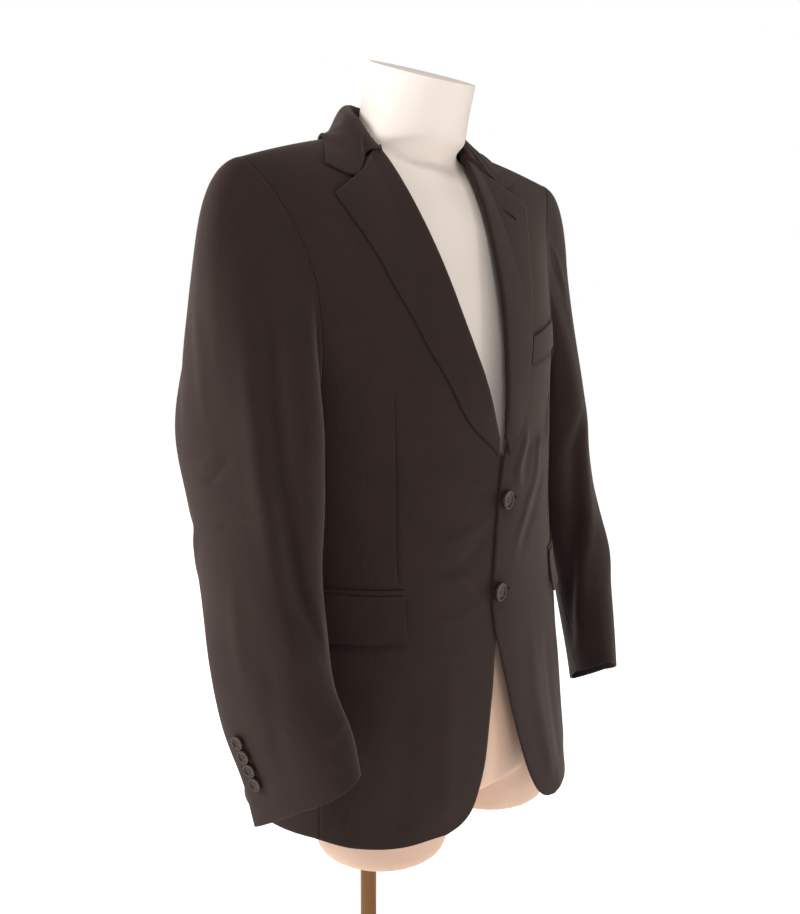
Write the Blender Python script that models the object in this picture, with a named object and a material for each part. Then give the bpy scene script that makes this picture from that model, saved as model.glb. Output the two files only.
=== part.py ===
"""Single-breasted two-button blazer worn by a limbless dress form on a stand.

Metres, +Z up, the front faces -Y, the wearer's left is +X, the floor is z = 0.
Heights in the tables are above the level of the hem, which is HEM_UP above the
floor. "out" is the distance from the middle, towards either side.
"""
import math

import bmesh
import bpy
import numpy as np

# ------------------------------------------------------------ driving sizes
HEM_UP = 0.345            # level of the hem above the floor
CLOTH = 0.0020            # wall of a body panel or a sleeve
LAPEL_CLOTH = 0.0018      # wall of the collar and the lapels
TRIM_CLOTH = 0.0016       # wall of flaps, jets and welt
SEAM_GAP = 0.0003         # clear width between two sewn pieces
MIDDLE_Y = 0.020          # middle of the body, front to back
CHEST_UP = 0.470          # level of the armpit
BELOW_SCALE = 0.39        # height of one unit of rise below the armpit
NECK_POINT = (0.080, 0.030, 0.742)    # shoulder seam at the neck: out, y, up
SHOULDER_TIP = (0.226, 0.018, 0.7105)  # shoulder seam at the sleeve
SHOULDER_BEND = 1.35      # how the shoulder line steepens towards the sleeve
NECK_SLOPE = 0.36         # slope of the cloth between neck and shoulder seam
FRONT_ROUND = 1.4         # how the chest falls back to the shoulder line
BACK_ROUND = 0.95
FLARE = 0.020             # lower corner of the left front swings forward
CORNER_DROP = 0.0066      # lower corner of the left front below that of the right
FLARE_UP = 0.135          # height where the swing starts
FRONT_SEAM_TURN = 1.12    # side front seam, angle round the body
BACK_SEAM_TURN = 1.98     # side back seam
LAP_LIFT = 0.0017         # left front lies this far outside, right front inside
ROLL_SETBACK = 0.0042     # front panel ends this far behind the fold of the lapel
ROLL_LIFT = 0.0043        # lapel above the front near its fold
EDGE_LIFT = 0.0027        # lapel above the front at its outer edge
GORGE_TRIMS = 6           # seam gaps between the collar's end and the lapel
SLEEVE_TRIMS = 2          # seam gaps along the two seams of a sleeve

# ------------------------------------------------- grid counts of the pieces
SIDE_ROWS = 15            # hem to armpit
ARM_ROWS = 8              # armpit to shoulder tip
SHOULDER_COLS = 8
NECK_COLS = 3
SIDE_COLS = 4
SLEEVE_ROWS = 19
FORE_SEAM_COL = ARM_ROWS + 1               # columns of the two sleeve seams
HIND_SEAM_COL = ARM_ROWS + SIDE_COLS + 4

BODY_COLUMNS = ("up", "half", "front", "power", "back", "back_power")
BODY_SECTIONS = (
    (-0.12, 0.222, 0.160, 2.10, 0.142, 2.2),
    (0.00, 0.216, 0.157, 2.10, 0.140, 2.2),
    (0.11, 0.213, 0.151, 2.10, 0.132, 2.2),
    (0.20, 0.206, 0.143, 2.10, 0.112, 2.2),
    (0.28, 0.198, 0.140, 2.00, 0.094, 2.2),
    (0.37, 0.193, 0.141, 1.88, 0.094, 2.3),
    (0.47, 0.197, 0.133, 1.90, 0.108, 2.5),
    (0.53, 0.203, 0.124, 2.05, 0.122, 2.6),
    (0.59, 0.207, 0.117, 2.15, 0.130, 2.6),
    (0.65, 0.223, 0.111, 2.20, 0.132, 2.6),
    (0.71, 0.256, 0.107, 2.20, 0.134, 2.5),
    (0.80, 0.300, 0.105, 2.20, 0.136, 2.4),
)
CLOSING_COLUMNS = ("up", "shift", "out")
CLOSING_LINE = (          # shift of the closing line, then edge out from it
    (0.0122, -0.0020, 0.0808),
    (0.0175, -0.0020, 0.0631),
    (0.0280, -0.0020, 0.0479),
    (0.0492, -0.0020, 0.0356),
    (0.0791, -0.0010, 0.0262),
    (0.125, -0.0015, 0.0168),
    (0.160, -0.0015, 0.0092),
    (0.205, -0.0033, 0.0005),
    (0.230, -0.0035, -0.0050),
    (0.262, -0.0040, -0.0078),
    (0.300, -0.0020, -0.0080),
    (0.340, 0.0005, -0.0088),
    (0.370, 0.0020, -0.0085),
    (0.400, 0.0030, -0.0045),
    (0.421, 0.0030, 0.0005),
    (0.435, 0.0020, 0.0030),
    (0.470, 0.0000, 0.0104),
)
ROLL_LINE = (             # out, up of the fold of the lapel
    (0.0030, 0.435),
    (0.0104, 0.470),
    (0.0172, 0.500),
    (0.0315, 0.560),
    (0.0425, 0.620),
    (0.0540, 0.680),
    (0.0625, 0.727),
)
LAPEL_EDGE = (            # out, up of the outer edge, from the break to the tip
    (0.0060, 0.415),
    (0.0190, 0.429),
    (0.0320, 0.441),
    (0.0455, 0.458),
    (0.0650, 0.500),
    (0.0800, 0.530),
    (0.0920, 0.560),
    (0.1050, 0.590),
    (0.1155, 0.620),
    (0.1300, 0.650),
    (0.1450, 0.680),
)
BACK_NECK = (             # out, up of the back neck seam
    (0.0000, 0.7375),
    (0.0250, 0.7375),
    (0.0500, 0.7390),
    (0.0700, 0.7415),
)
ARM_FRONT = (             # out, up of the armhole, armpit to shoulder tip
    (0.1775, 0.489),
    (0.1768, 0.515),
    (0.1765, 0.545),
    (0.1770, 0.585),
    (0.1825, 0.620),
    (0.1925, 0.652),
    (0.2080, 0.684),
)
ARM_BACK = (
    (0.1880, 0.500),
    (0.1835, 0.530),
    (0.1830, 0.570),
    (0.1870, 0.610),
    (0.1950, 0.650),
    (0.2090, 0.685),
)
ARMPIT_RISE = 0.02        # rise of the lowest point of the armhole
COLLAR_STATIONS = (       # centre back to front end: seam, fold, fall, edge
    ((0.000, 0.0915, 0.7410), (0.000, 0.0875, 0.7830),
     (0.000, 0.1010, 0.7690), (0.000, 0.1120, 0.7330)),
    ((0.042, 0.0800, 0.7420), (0.040, 0.0725, 0.7830),
     (0.049, 0.0880, 0.7680), (0.057, 0.0990, 0.7345)),
    ((0.070, 0.0530, 0.7450), (0.062, 0.0520, 0.7760),
     (0.075, 0.0650, 0.7600), (0.090, 0.0720, 0.7410)),
    ((0.0775, 0.0325, 0.7465), (0.0720, 0.0295, 0.7640),
     (0.090, 0.0330, 0.7565), (0.1175, 0.0330, 0.7435)),
    ((0.071, 0.0130, 0.7340), (0.0700, 0.0070, 0.7400),
     (0.102, -0.0010, 0.7225), (0.128, 0.0130, 0.7295)),
    ((0.0668, 0.0030, 0.7280), (0.0664, -0.0030, 0.7300),
     (0.1165, -0.0185, 0.6995), (0.1430, -0.0080, 0.7090)),
)
SLEEVE_COLUMNS = ("up", "out", "y", "across", "deep", "slope", "toe_in")
SLEEVE_RINGS = (          # down the arm; toe_in in degrees
    (0.440, 0.2275, 0.0140, 0.0380, 0.0808, -0.05, 21.0),
    (0.370, 0.2300, 0.0026, 0.0395, 0.0735, -0.12, 21.5),
    (0.300, 0.2375, -0.0115, 0.0384, 0.0686, -0.25, 20.0),
    (0.245, 0.2470, -0.0355, 0.0332, 0.0637, -0.38, 33.0),
    (0.185, 0.2465, -0.0504, 0.0287, 0.0635, -0.50, 32.5),
    (0.130, 0.2370, -0.0700, 0.0245, 0.0643, -0.58, 33.4),
    (0.092, 0.2345, -0.0800, 0.0203, 0.0650, -0.64, 32.0),
)
SLEEVE_HEAD = 0.12        # how far the cap runs out before it turns down
CUFF_FULL = 0.80          # front half of the cuff is wider and hangs lower
CUFF_DROOP = 0.014
HEAD_PUFF = 0.0148        # upper sleeve stands out from the shoulder seam
HEAD_PUFF_AT = 0.13       # where it is fullest, as a share of the sleeve
FOLD_END = 0.08           # share of the sleeve over which a fold runs out
SLEEVE_FOLDS = (          # side, height, width as a share around; (down, around) along it
    ((-1, 0.0030, 0.050), ((0.10, 0.040), (0.34, 0.060), (0.52, 0.085), (0.80, 0.100))),
    ((-1, -0.0042, 0.050), ((0.12, 0.105), (0.32, 0.120), (0.50, 0.150), (0.74, 0.210))),
    ((1, 0.0030, 0.050), ((0.36, 0.170), (0.60, 0.240), (0.80, 0.330), (0.97, 0.370))),
    ((1, -0.0042, 0.050), ((0.34, 0.225), (0.60, 0.310), (0.78, 0.400), (0.95, 0.470))),
)
FORM_COLUMNS = ("up", "half", "front", "back", "power", "slope")
FORM_SECTIONS = (         # hips to neck cap; front and back are y
    (0.000, 0.158, -0.096, 0.060, 2.2, 0.0),
    (0.03, 0.176, -0.112, 0.104, 2.2, 0.0),
    (0.08, 0.185, -0.118, 0.128, 2.2, 0.0),
    (0.16, 0.184, -0.112, 0.122, 2.2, 0.0),
    (0.24, 0.172, -0.106, 0.100, 2.1, 0.0),
    (0.33, 0.162, -0.106, 0.092, 2.1, 0.0),
    (0.42, 0.172, -0.102, 0.108, 2.1, 0.0),
    (0.50, 0.178, -0.088, 0.122, 2.2, 0.0),
    (0.57, 0.184, -0.070, 0.130, 2.3, 0.0),
    (0.62, 0.190, -0.054, 0.127, 2.3, 0.0),
    (0.66, 0.196, -0.040, 0.119, 2.2, 0.0),
    (0.69, 0.180, -0.030, 0.110, 2.1, 0.0),
    (0.712, 0.130, -0.027, 0.100, 2.0, 0.0),
    (0.730, 0.078, -0.030, 0.084, 2.0, 0.0),
    (0.750, 0.0620, -0.036, 0.079, 2.0, 0.05),
    (0.775, 0.0595, -0.042, 0.075, 2.0, 0.12),
    (0.814, 0.0572, -0.052, 0.062, 2.0, 0.32),
)
FORM_CLEAR = 0.0060             # form inside the middle of the cloth
FORM_FREE_FROM = 0.722          # from here up the neck leaves the cloth
FORM_FREE_OVER = 0.020
THIGH_AT = (0.089, -0.030)      # middle of a thigh stub: out, y
THIGH_RADIUS = 0.0745
THIGH_DOWN = -0.030             # flat end of a thigh stub above the hem
POLE_AT = (-0.092, -0.011)
POLE_RADIUS = 0.0095
BASE_RADIUS = 0.170
BASE_THICK = 0.012

FRONT_BUTTONS = ((0.0030, 0.368), (-0.0040, 0.267))
FRONT_BUTTON_RADIUS = 0.0102
CUFF_BUTTON_RADIUS = 0.0072
BUTTON_THICK = 0.0036
CUFF_BUTTON_STEP = 0.0151
CUFF_BUTTONS = 4
CUFF_BUTTON_FIRST = 0.044  # lowest cuff button above the edge of the cuff
CUFF_BUTTON_STANDOFF = 0.0012
CUFF_BUTTON_SHARE = 0.75   # between the first and second column from the seam
CUFF_LINE_ROWS = 60


# ----------------------------------------------------------- small helpers
def smooth_through(xs, ys, at):
    """Monotone cubic through the points (xs, ys), worked out at `at`."""
    xs = np.asarray(xs, float)
    ys = np.asarray(ys, float)
    at = np.asarray(at, float)
    step = np.diff(xs)
    rate = np.diff(ys) / step
    slope = np.concatenate(([rate[0]], np.zeros(len(xs) - 2), [rate[-1]]))
    for i in range(1, len(xs) - 1):
        if rate[i - 1] * rate[i] > 0.0:
            first = 2.0 * step[i] + step[i - 1]
            second = step[i] + 2.0 * step[i - 1]
            slope[i] = (first + second) / (first / rate[i - 1] + second / rate[i])
    i = np.clip(np.searchsorted(xs, at, side="right") - 1, 0, len(xs) - 2)
    t = np.clip((at - xs[i]) / step[i], 0.0, 1.0)
    return ((2 * t**3 - 3 * t**2 + 1) * ys[i] + (t**3 - 2 * t**2 + t) * step[i] * slope[i]
            + (3 * t**2 - 2 * t**3) * ys[i + 1] + (t**3 - t**2) * step[i] * slope[i + 1])


def column(columns, rows, key, at, by="up"):
    """Read one named column of a table, smoothly, at heights `at`."""
    order = sorted(rows, key=lambda row: row[columns.index(by)])
    xs = [row[columns.index(by)] for row in order]
    ys = [row[columns.index(key)] for row in order]
    return smooth_through(xs, ys, at)


def lengths_along(points):
    steps = np.linalg.norm(np.diff(points, axis=0), axis=1)
    return np.concatenate(([0.0], np.cumsum(steps)))


def resample(points, shares):
    """Points at the given shares of the length of a line of points."""
    points = np.asarray(points, float)
    run = lengths_along(points)
    return np.stack([np.interp(np.asarray(shares) * run[-1], run, points[:, k])
                     for k in range(points.shape[1])], axis=1)


def rounded_line(points, per_span=12):
    """A smooth line through the given points."""
    points = np.asarray(points, float)
    run = lengths_along(points)
    fine = np.concatenate([np.linspace(run[i], run[i + 1], per_span, endpoint=False)
                           for i in range(len(run) - 1)] + [[run[-1]]])
    return np.stack([smooth_through(run, points[:, k], fine)
                     for k in range(points.shape[1])], axis=1)


def unit(vectors):
    size = np.linalg.norm(vectors, axis=-1, keepdims=True)
    return vectors / np.maximum(size, 1e-12)


def blend(first, second, share):
    return first * (1.0 - share) + second * share


# -------------------------------------------------------- form of the body
def shoulder_line(out):
    """Height and depth of the shoulder line at a distance from the middle."""
    share = (np.abs(out) - NECK_POINT[0]) / (SHOULDER_TIP[0] - NECK_POINT[0])
    drop = (NECK_POINT[2] - SHOULDER_TIP[2]) * np.abs(share) ** SHOULDER_BEND
    rise = NECK_SLOPE * (NECK_POINT[0] - np.abs(out))
    up = NECK_POINT[2] + np.where(share > 0.0, -drop, rise)
    clipped = np.clip(share, 0.0, 1.0)
    return up, NECK_POINT[1] + clipped * (SHOULDER_TIP[1] - NECK_POINT[1])


def body_point(turn, rise):
    """Point of the cloth: turn 0 front, pi back, sign = side; rise 1 = shoulder."""
    turn = np.asarray(turn, float)
    rise = np.asarray(rise, float)
    around = np.abs(turn)
    is_front = around < math.pi / 2
    arc = np.clip(rise, 0.0, 1.0) * math.pi / 2
    low = CHEST_UP + rise * BELOW_SCALE
    up = np.where(rise < 0.0, low, CHEST_UP + np.sin(arc) * 0.26)
    out = np.zeros_like(up)
    power = np.full_like(up, 2.0)
    for _ in range(12):
        half = column(BODY_COLUMNS, BODY_SECTIONS, "half", up)
        power = np.where(is_front, column(BODY_COLUMNS, BODY_SECTIONS, "power", up),
                         column(BODY_COLUMNS, BODY_SECTIONS, "back_power", up))
        out = half * np.abs(np.sin(around)) ** (2.0 / power)
        top = shoulder_line(out)[0]
        up = np.where(rise < 0.0, low, CHEST_UP + np.sin(arc) * (top - CHEST_UP))
    depth = np.where(is_front, -column(BODY_COLUMNS, BODY_SECTIONS, "front", up),
                     column(BODY_COLUMNS, BODY_SECTIONS, "back", up))
    fall = np.cos(arc) ** np.where(is_front, FRONT_ROUND, BACK_ROUND)
    depth = depth * np.abs(np.cos(around)) ** (2.0 / power) * fall
    share = np.where(rise < 0.0, 0.0, np.sin(arc))
    middle = MIDDLE_Y + (shoulder_line(out)[1] - MIDDLE_Y) * share
    sign = np.where(turn < 0.0, -1.0, 1.0)
    swing = np.clip((FLARE_UP - up) / FLARE_UP, 0.0, 1.2) ** 1.6
    swing = swing * np.clip((0.195 - out) / 0.10, 0.0, 1.0) ** 0.8
    swing = np.where((turn > 0.0) & is_front, swing * FLARE, 0.0)
    return np.stack([sign * out, middle + depth - swing, up], axis=-1)


def body_normal(turn, rise):
    """Outward direction of the cloth; along the shoulder seam it points up."""
    step = 1e-3
    inner = np.clip(np.asarray(rise, float), -3.0, 0.93)
    turn = np.asarray(turn, float)
    middle_back = np.abs(turn) > math.pi - 1e-6
    turn = np.clip(turn, -math.pi + 2 * step, math.pi - 2 * step)
    along = body_point(turn + step, inner) - body_point(turn - step, inner)
    upward = body_point(turn, inner + step) - body_point(turn, inner - step)
    normal = unit(np.cross(along, upward))
    normal[..., 0] = np.where(middle_back, 0.0, normal[..., 0])
    ridge = np.stack([0.33 * np.sign(turn), np.zeros_like(turn), np.ones_like(turn)], -1)
    weight = np.clip((np.asarray(rise, float) - 0.80) / 0.20, 0.0, 1.0)[..., None] ** 2
    return unit(normal * (1.0 - weight) + unit(ridge) * weight)


def place(out, up, side, back=False):
    """Turn and rise of the cloth point at `out`, `up` (side +1 left, -1 right)."""
    out = np.asarray(out, float)
    up = np.asarray(up, float)
    half = column(BODY_COLUMNS, BODY_SECTIONS, "half", up)
    power = column(BODY_COLUMNS, BODY_SECTIONS, "back_power" if back else "power", up)
    around = np.arcsin(np.clip(np.abs(out) / half, 0.0, 1.0) ** (power / 2.0))
    around = math.pi - around if back else around
    top = shoulder_line(out)[0]
    high = np.arcsin(np.clip((up - CHEST_UP) / (top - CHEST_UP), 0.0, 1.0)) * 2 / math.pi
    rise = np.where(up < CHEST_UP, (up - CHEST_UP) / BELOW_SCALE, high)
    return np.stack([np.sign(side) * np.where(out < 0.0, -around, around), rise], axis=-1)


def lift_from_body(places, lift):
    """Points on the cloth moved out by `lift`."""
    turn = places[..., 0]
    rise = places[..., 1]
    amount = np.asarray(lift, float) * np.ones_like(turn)
    return body_point(turn, rise) + body_normal(turn, rise) * amount[..., None]


def patch(left, right, bottom, top):
    """Fill four boundary lines (rows x columns) smoothly, corner to corner."""
    rows = len(left)
    cols = len(bottom)
    v = np.linspace(0.0, 1.0, rows)[:, None, None]
    u = np.linspace(0.0, 1.0, cols)[None, :, None]
    corners = ((1 - u) * (1 - v) * bottom[0] + u * (1 - v) * bottom[-1]
               + (1 - u) * v * top[0] + u * v * top[-1])
    return ((1 - v) * bottom[None] + v * top[None]
            + (1 - u) * left[:, None] + u * right[:, None] - corners)


def places_by_length(places, shares):
    """Resample a line of (turn, rise) by its true length on the cloth."""
    places = np.asarray(places, float)
    fine = resample(places, np.linspace(0.0, 1.0, 160))
    run = lengths_along(body_point(fine[:, 0], fine[:, 1]))
    wanted = np.asarray(shares) * run[-1]
    return np.stack([np.interp(wanted, run, fine[:, 0]),
                     np.interp(wanted, run, fine[:, 1])], axis=1)


# ------------------------------------------------------------ mesh building
def make_material(name, colour, roughness, metallic=0.0, sheen=0.0):
    material = bpy.data.materials.new(name)
    material.use_nodes = True
    shader = material.node_tree.nodes["Principled BSDF"]
    shader.inputs["Base Color"].default_value = (*colour, 1.0)
    shader.inputs["Roughness"].default_value = roughness
    shader.inputs["Metallic"].default_value = metallic
    shader.inputs["Sheen Weight"].default_value = sheen
    material.diffuse_color = (*colour, 1.0)
    return material


def add_object(name, vertices, faces, look):
    """Make one closed object, faces turned outwards, with its own material."""
    mesh = bpy.data.meshes.new(name)
    shifted = [(float(v[0]), float(v[1]), float(v[2]) + HEM_UP) for v in vertices]
    mesh.from_pydata(shifted, [], [tuple(int(i) for i in face) for face in faces])
    work = bmesh.new()
    work.from_mesh(mesh)
    bmesh.ops.recalc_face_normals(work, faces=work.faces)
    work.to_mesh(mesh)
    work.free()
    mesh.update()
    thing = bpy.data.objects.new(name, mesh)
    bpy.context.scene.collection.objects.link(thing)
    mesh.materials.append(make_material(name + "_look", *look))
    return thing


def trim_edges(grid, edges):
    """Draw the named edges of a grid in by half a seam gap."""
    grid = grid.copy()
    half_gap = SEAM_GAP / 2
    if "bottom" in edges:
        grid[0] += unit(grid[1] - grid[0]) * half_gap
    if "top" in edges:
        grid[-1] += unit(grid[-2] - grid[-1]) * half_gap
    if "inner" in edges:
        grid[:, 0] += unit(grid[:, 1] - grid[:, 0]) * half_gap
    if "outer" in edges:
        grid[:, -1] += unit(grid[:, -2] - grid[:, -1]) * half_gap
    return grid


def grid_normals(grid):
    """Outward-or-inward direction of a grid from its own neighbours."""
    along = np.gradient(grid, axis=1)
    upward = np.gradient(grid, axis=0)
    return unit(np.cross(along, upward))


def shell(name, grid, normals, thickness, look):
    """Closed cloth wall of even thickness about a grid of middle points."""
    rows, cols = grid.shape[:2]
    outside = grid + normals * thickness / 2
    inside = grid - normals * thickness / 2
    vertices = np.concatenate([outside.reshape(-1, 3), inside.reshape(-1, 3)])
    count = rows * cols

    def at(i, j, layer):
        return layer * count + i * cols + j

    faces = []
    for i in range(rows - 1):
        for j in range(cols - 1):
            faces.append((at(i, j, 0), at(i, j + 1, 0), at(i + 1, j + 1, 0), at(i + 1, j, 0)))
            faces.append((at(i, j, 1), at(i + 1, j, 1), at(i + 1, j + 1, 1), at(i, j + 1, 1)))
    rim = [(0, j) for j in range(cols)] + [(i, cols - 1) for i in range(1, rows)]
    rim += [(rows - 1, j) for j in range(cols - 2, -1, -1)]
    rim += [(i, 0) for i in range(rows - 2, 0, -1)]
    for a, b in zip(rim, rim[1:] + rim[:1]):
        faces.append((at(*a, 0), at(*a, 1), at(*b, 1), at(*b, 0)))
    return add_object(name, vertices, faces, look)


def turned(name, centre, axis, profile, segments, look):
    """Closed round solid: profile rows are (radius, distance along the axis)."""
    axis = unit(np.asarray(axis, float))
    helper = np.array([0.0, 0.0, 1.0]) if abs(axis[2]) < 0.9 else np.array([1.0, 0.0, 0.0])
    first = unit(np.cross(axis, helper))
    second = np.cross(axis, first)
    vertices = []
    for radius, along in profile:
        for k in range(segments):
            angle = 2 * math.pi * k / segments
            spoke = first * math.cos(angle) + second * math.sin(angle)
            vertices.append(np.asarray(centre) + axis * along + spoke * radius)
    faces = [tuple(range(segments))]
    for ring in range(len(profile) - 1):
        for k in range(segments):
            after = (k + 1) % segments
            faces.append((ring * segments + k, ring * segments + after,
                          (ring + 1) * segments + after, (ring + 1) * segments + k))
    last = (len(profile) - 1) * segments
    faces.append(tuple(last + k for k in range(segments)))
    return add_object(name, np.array(vertices), faces, look)


# -------------------------------------------------------------- body panels
def hem_up(turn, side):
    """Height of the hem; the left front hangs a little lower than the right."""
    around = np.abs(turn)
    level = smooth_through((0.0, 0.4, 0.63, 0.9, 1.2, 1.6, 2.2, math.pi),
                           (0.0118, 0.0118, 0.009, 0.0125, 0.021, 0.022, 0.018, 0.016),
                           around)
    drop = smooth_through((0.0, 0.6, 1.2, 2.2, math.pi),
                          (CORNER_DROP, CORNER_DROP, 0.003, 0.0, 0.0), around)
    return level - (drop if side > 0 else 0.0)


def hem_line(first_turn, last_turn, side, count):
    turns = np.linspace(first_turn, last_turn, 40)
    ups = hem_up(turns, side)
    places = np.stack([turns * side, (ups - CHEST_UP) / BELOW_SCALE], axis=1)
    return places_by_length(places, np.linspace(0.0, 1.0, count))


def closing_shift(up):
    """Sideways shift of the closing line, towards the wearer's left."""
    return column(CLOSING_COLUMNS, CLOSING_LINE, "shift", up)


def front_edge_points(side):
    """out, up of the front edge from the hem corner to the end of the roll line."""
    rows = []
    for up, shift, out in CLOSING_LINE:
        low = CORNER_DROP * min(max((0.06 - up) / 0.04, 0.0), 1.0) if side > 0 else 0.0
        rows.append((out + shift * side, up - low))
    return rows + list(ROLL_LINE[2:])


def armhole_places(side):
    """Armhole from the shoulder tip down the front, under the arm, up the back."""
    tip = [(SHOULDER_TIP[0], SHOULDER_TIP[2])]
    front = rounded_line(list(ARM_FRONT) + tip)
    back = rounded_line(list(ARM_BACK) + tip)
    front = place(front[:, 0], front[:, 1], side)
    back = place(back[:, 0], back[:, 1], side, back=True)
    front[-1, 1] = 1.0
    back[-1, 1] = 1.0
    low = ARMPIT_RISE
    under = rounded_line([front[0], (side * 1.40, low + 0.012), (side * 1.60, low),
                          (side * 1.80, low + 0.014), back[0]])
    shares = np.linspace(0.0, 1.0, ARM_ROWS + 1)
    front = places_by_length(front[::-1], shares)
    under = places_by_length(under, np.linspace(0.0, 1.0, SIDE_COLS + 1))
    back = places_by_length(back, shares)
    return front, under, back


def seam_to_armpit(turn, side, top):
    start = np.array([side * turn, (float(hem_up(turn, side)) - CHEST_UP) / BELOW_SCALE])
    return places_by_length([start, top], np.linspace(0.0, 1.0, SIDE_ROWS + 1))


def front_panel_places(side):
    arm_front = armhole_places(side)[0][::-1]
    outer = np.concatenate([seam_to_armpit(FRONT_SEAM_TURN, side, arm_front[0]),
                            arm_front[1:]])
    edge = np.asarray(front_edge_points(side))
    edge = rounded_line(edge)
    setback = np.clip((edge[:, 1] - 0.414) / 0.012, 0.0, 1.0) * ROLL_SETBACK
    inner = place(edge[:, 0] + setback, edge[:, 1], side)
    neck = place(NECK_POINT[0], 0.99 * shoulder_line(NECK_POINT[0])[0], side)
    neck[1] = 1.0
    inner = np.concatenate([inner, [neck]])
    rows = SIDE_ROWS + ARM_ROWS
    inner = places_by_length(inner, (np.arange(rows + 1) / rows) ** 1.2)
    corner_turn = abs(inner[0, 0])
    bottom = hem_line(corner_turn, FRONT_SEAM_TURN, side, SHOULDER_COLS + 1)
    bottom[:, 1] += (inner[0, 1] - bottom[0, 1]) * np.linspace(1.0, 0.0, len(bottom)) ** 3
    top = shoulder_seam(side, back=False)
    return patch(inner, outer, bottom, top)


def shoulder_seam(side, back):
    outs = np.linspace(NECK_POINT[0], SHOULDER_TIP[0], 40)
    ups = shoulder_line(outs)[0]
    places = place(outs, ups - 1e-6, side, back)
    places[:, 1] = 1.0
    return places_by_length(places, np.linspace(0.0, 1.0, SHOULDER_COLS + 1))


def side_panel_places(side):
    front, under, back = armhole_places(side)
    left = seam_to_armpit(FRONT_SEAM_TURN, side, front[-1])
    right = seam_to_armpit(BACK_SEAM_TURN, side, back[0])
    bottom = hem_line(FRONT_SEAM_TURN, BACK_SEAM_TURN, side, SIDE_COLS + 1)
    return patch(left, right, bottom, under)


def back_panel_places(side):
    back = armhole_places(side)[2]
    outer = np.concatenate([seam_to_armpit(BACK_SEAM_TURN, side, back[0]), back[1:]])
    rows = SIDE_ROWS + ARM_ROWS
    nape = place(0.0, BACK_NECK[0][1], side, back=True)
    middle = np.array([[side * math.pi, (0.0 - CHEST_UP) / BELOW_SCALE],
                       [side * math.pi, nape[1]]])
    inner = places_by_length(middle, np.linspace(0.0, 1.0, rows + 1))
    bottom = hem_line(BACK_SEAM_TURN, math.pi, side, NECK_COLS + SHOULDER_COLS + 1)[::-1]
    neck = place([row[0] for row in BACK_NECK], [row[1] for row in BACK_NECK], side, True)
    seam = shoulder_seam(side, back=True)
    neck = places_by_length(np.concatenate([neck, seam[:1]]),
                            np.linspace(0.0, 1.0, NECK_COLS + 1))
    top = np.concatenate([neck, seam[1:]])
    return patch(inner, outer, bottom, top)


def lap_lift(places, side):
    """Left front lies outside the right one where the two lap."""
    out = body_point(places[..., 0], places[..., 1])
    near = np.clip(1.0 - (np.abs(out[..., 0] + 0.006) - 0.030) / 0.045, 0.0, 1.0)
    low = np.clip((0.500 - out[..., 2]) / 0.06, 0.0, 1.0)
    return side * LAP_LIFT * near * low


def build_panels(cloth_look):
    for side, word in ((1, "left"), (-1, "right")):
        places = front_panel_places(side)
        grid = trim_edges(lift_from_body(places, lap_lift(places, side)), ("outer", "top"))
        normals = body_normal(places[..., 0], places[..., 1])
        shell("front_" + word, grid, normals, CLOTH, cloth_look)
        places = side_panel_places(side)
        grid = trim_edges(lift_from_body(places, 0.0), ("inner", "outer", "top"))
        normals = body_normal(places[..., 0], places[..., 1])
        shell("side_" + word, grid, normals, CLOTH, cloth_look)
        places = back_panel_places(side)
        grid = trim_edges(lift_from_body(places, 0.0), ("inner", "outer", "top"))
        normals = body_normal(places[..., 0], places[..., 1])
        shell("back_" + word, grid, normals, CLOTH, cloth_look)


# -------------------------------------------------------- collar and lapels
def build_lapels(cloth_look):
    rows, cols = 14, 5
    roll = rounded_line(ROLL_LINE)
    edge = rounded_line(LAPEL_EDGE)
    shares = np.linspace(0.0, 1.0, rows + 1) ** 0.9
    roll = resample(roll, shares)
    edge = resample(edge, shares)
    across = np.linspace(0.0, 1.0, cols + 1)
    for side, word in ((1, "left"), (-1, "right")):
        grid = []
        for near, far in zip(roll, edge):
            reach = np.linalg.norm(far - near)
            fold = min(ROLL_SETBACK - 0.0006, 0.30 * reach)
            steps = [(fold, 0.0), (0.25 * fold, 0.0006), (0.0, 0.5 * ROLL_LIFT),
                     (0.35 * fold, 0.92 * ROLL_LIFT)]
            ends = [(fold + (reach - fold) * share,
                     ROLL_LIFT + (EDGE_LIFT - ROLL_LIFT) * share) for share in across]
            line = np.array(steps + ends)
            flat = near + (far - near) * (line[:, :1] / reach)
            out = flat[:, 0] + closing_shift(flat[:, 1]) * side
            spots = place(out, flat[:, 1], side)
            lift = line[:, 1] + lap_lift(spots, side)
            grid.append(lift_from_body(spots, lift))
        grid = np.array(grid)
        for _ in range(GORGE_TRIMS):
            grid = trim_edges(grid, ("top",))
        normals = grid_normals(grid) * side
        shell("lapel_" + word, grid, normals, LAPEL_CLOTH, cloth_look)


def build_collar(cloth_look):
    stations = np.asarray(COLLAR_STATIONS, float)
    half = [rounded_line(stations[:, k], 10) for k in range(4)]
    rows = 10
    shares = np.linspace(0.0, 1.0, rows + 1)
    lines = [resample(points, shares) for points in half]
    grid = []
    for i in range(-rows, rows + 1):
        seam, fold, fall, edge = [line[abs(i)] * (math.copysign(1, i), 1, 1) for line in lines]
        outward = unit(np.array([fold[0], (fold[1] - MIDDLE_Y), 0.0]))
        stand = seam + (fold - seam) * 0.55
        profile = rounded_line([seam, stand, fold - outward * 0.0005, fold + outward * 0.004,
                                fall, edge], 8)
        grid.append(resample(profile, np.linspace(0.0, 1.0, 8)))
    grid = np.array(grid)
    for _ in range(GORGE_TRIMS):
        grid = trim_edges(grid, ("bottom", "top"))
    shell("collar", grid, grid_normals(grid), LAPEL_CLOTH, cloth_look)


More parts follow.
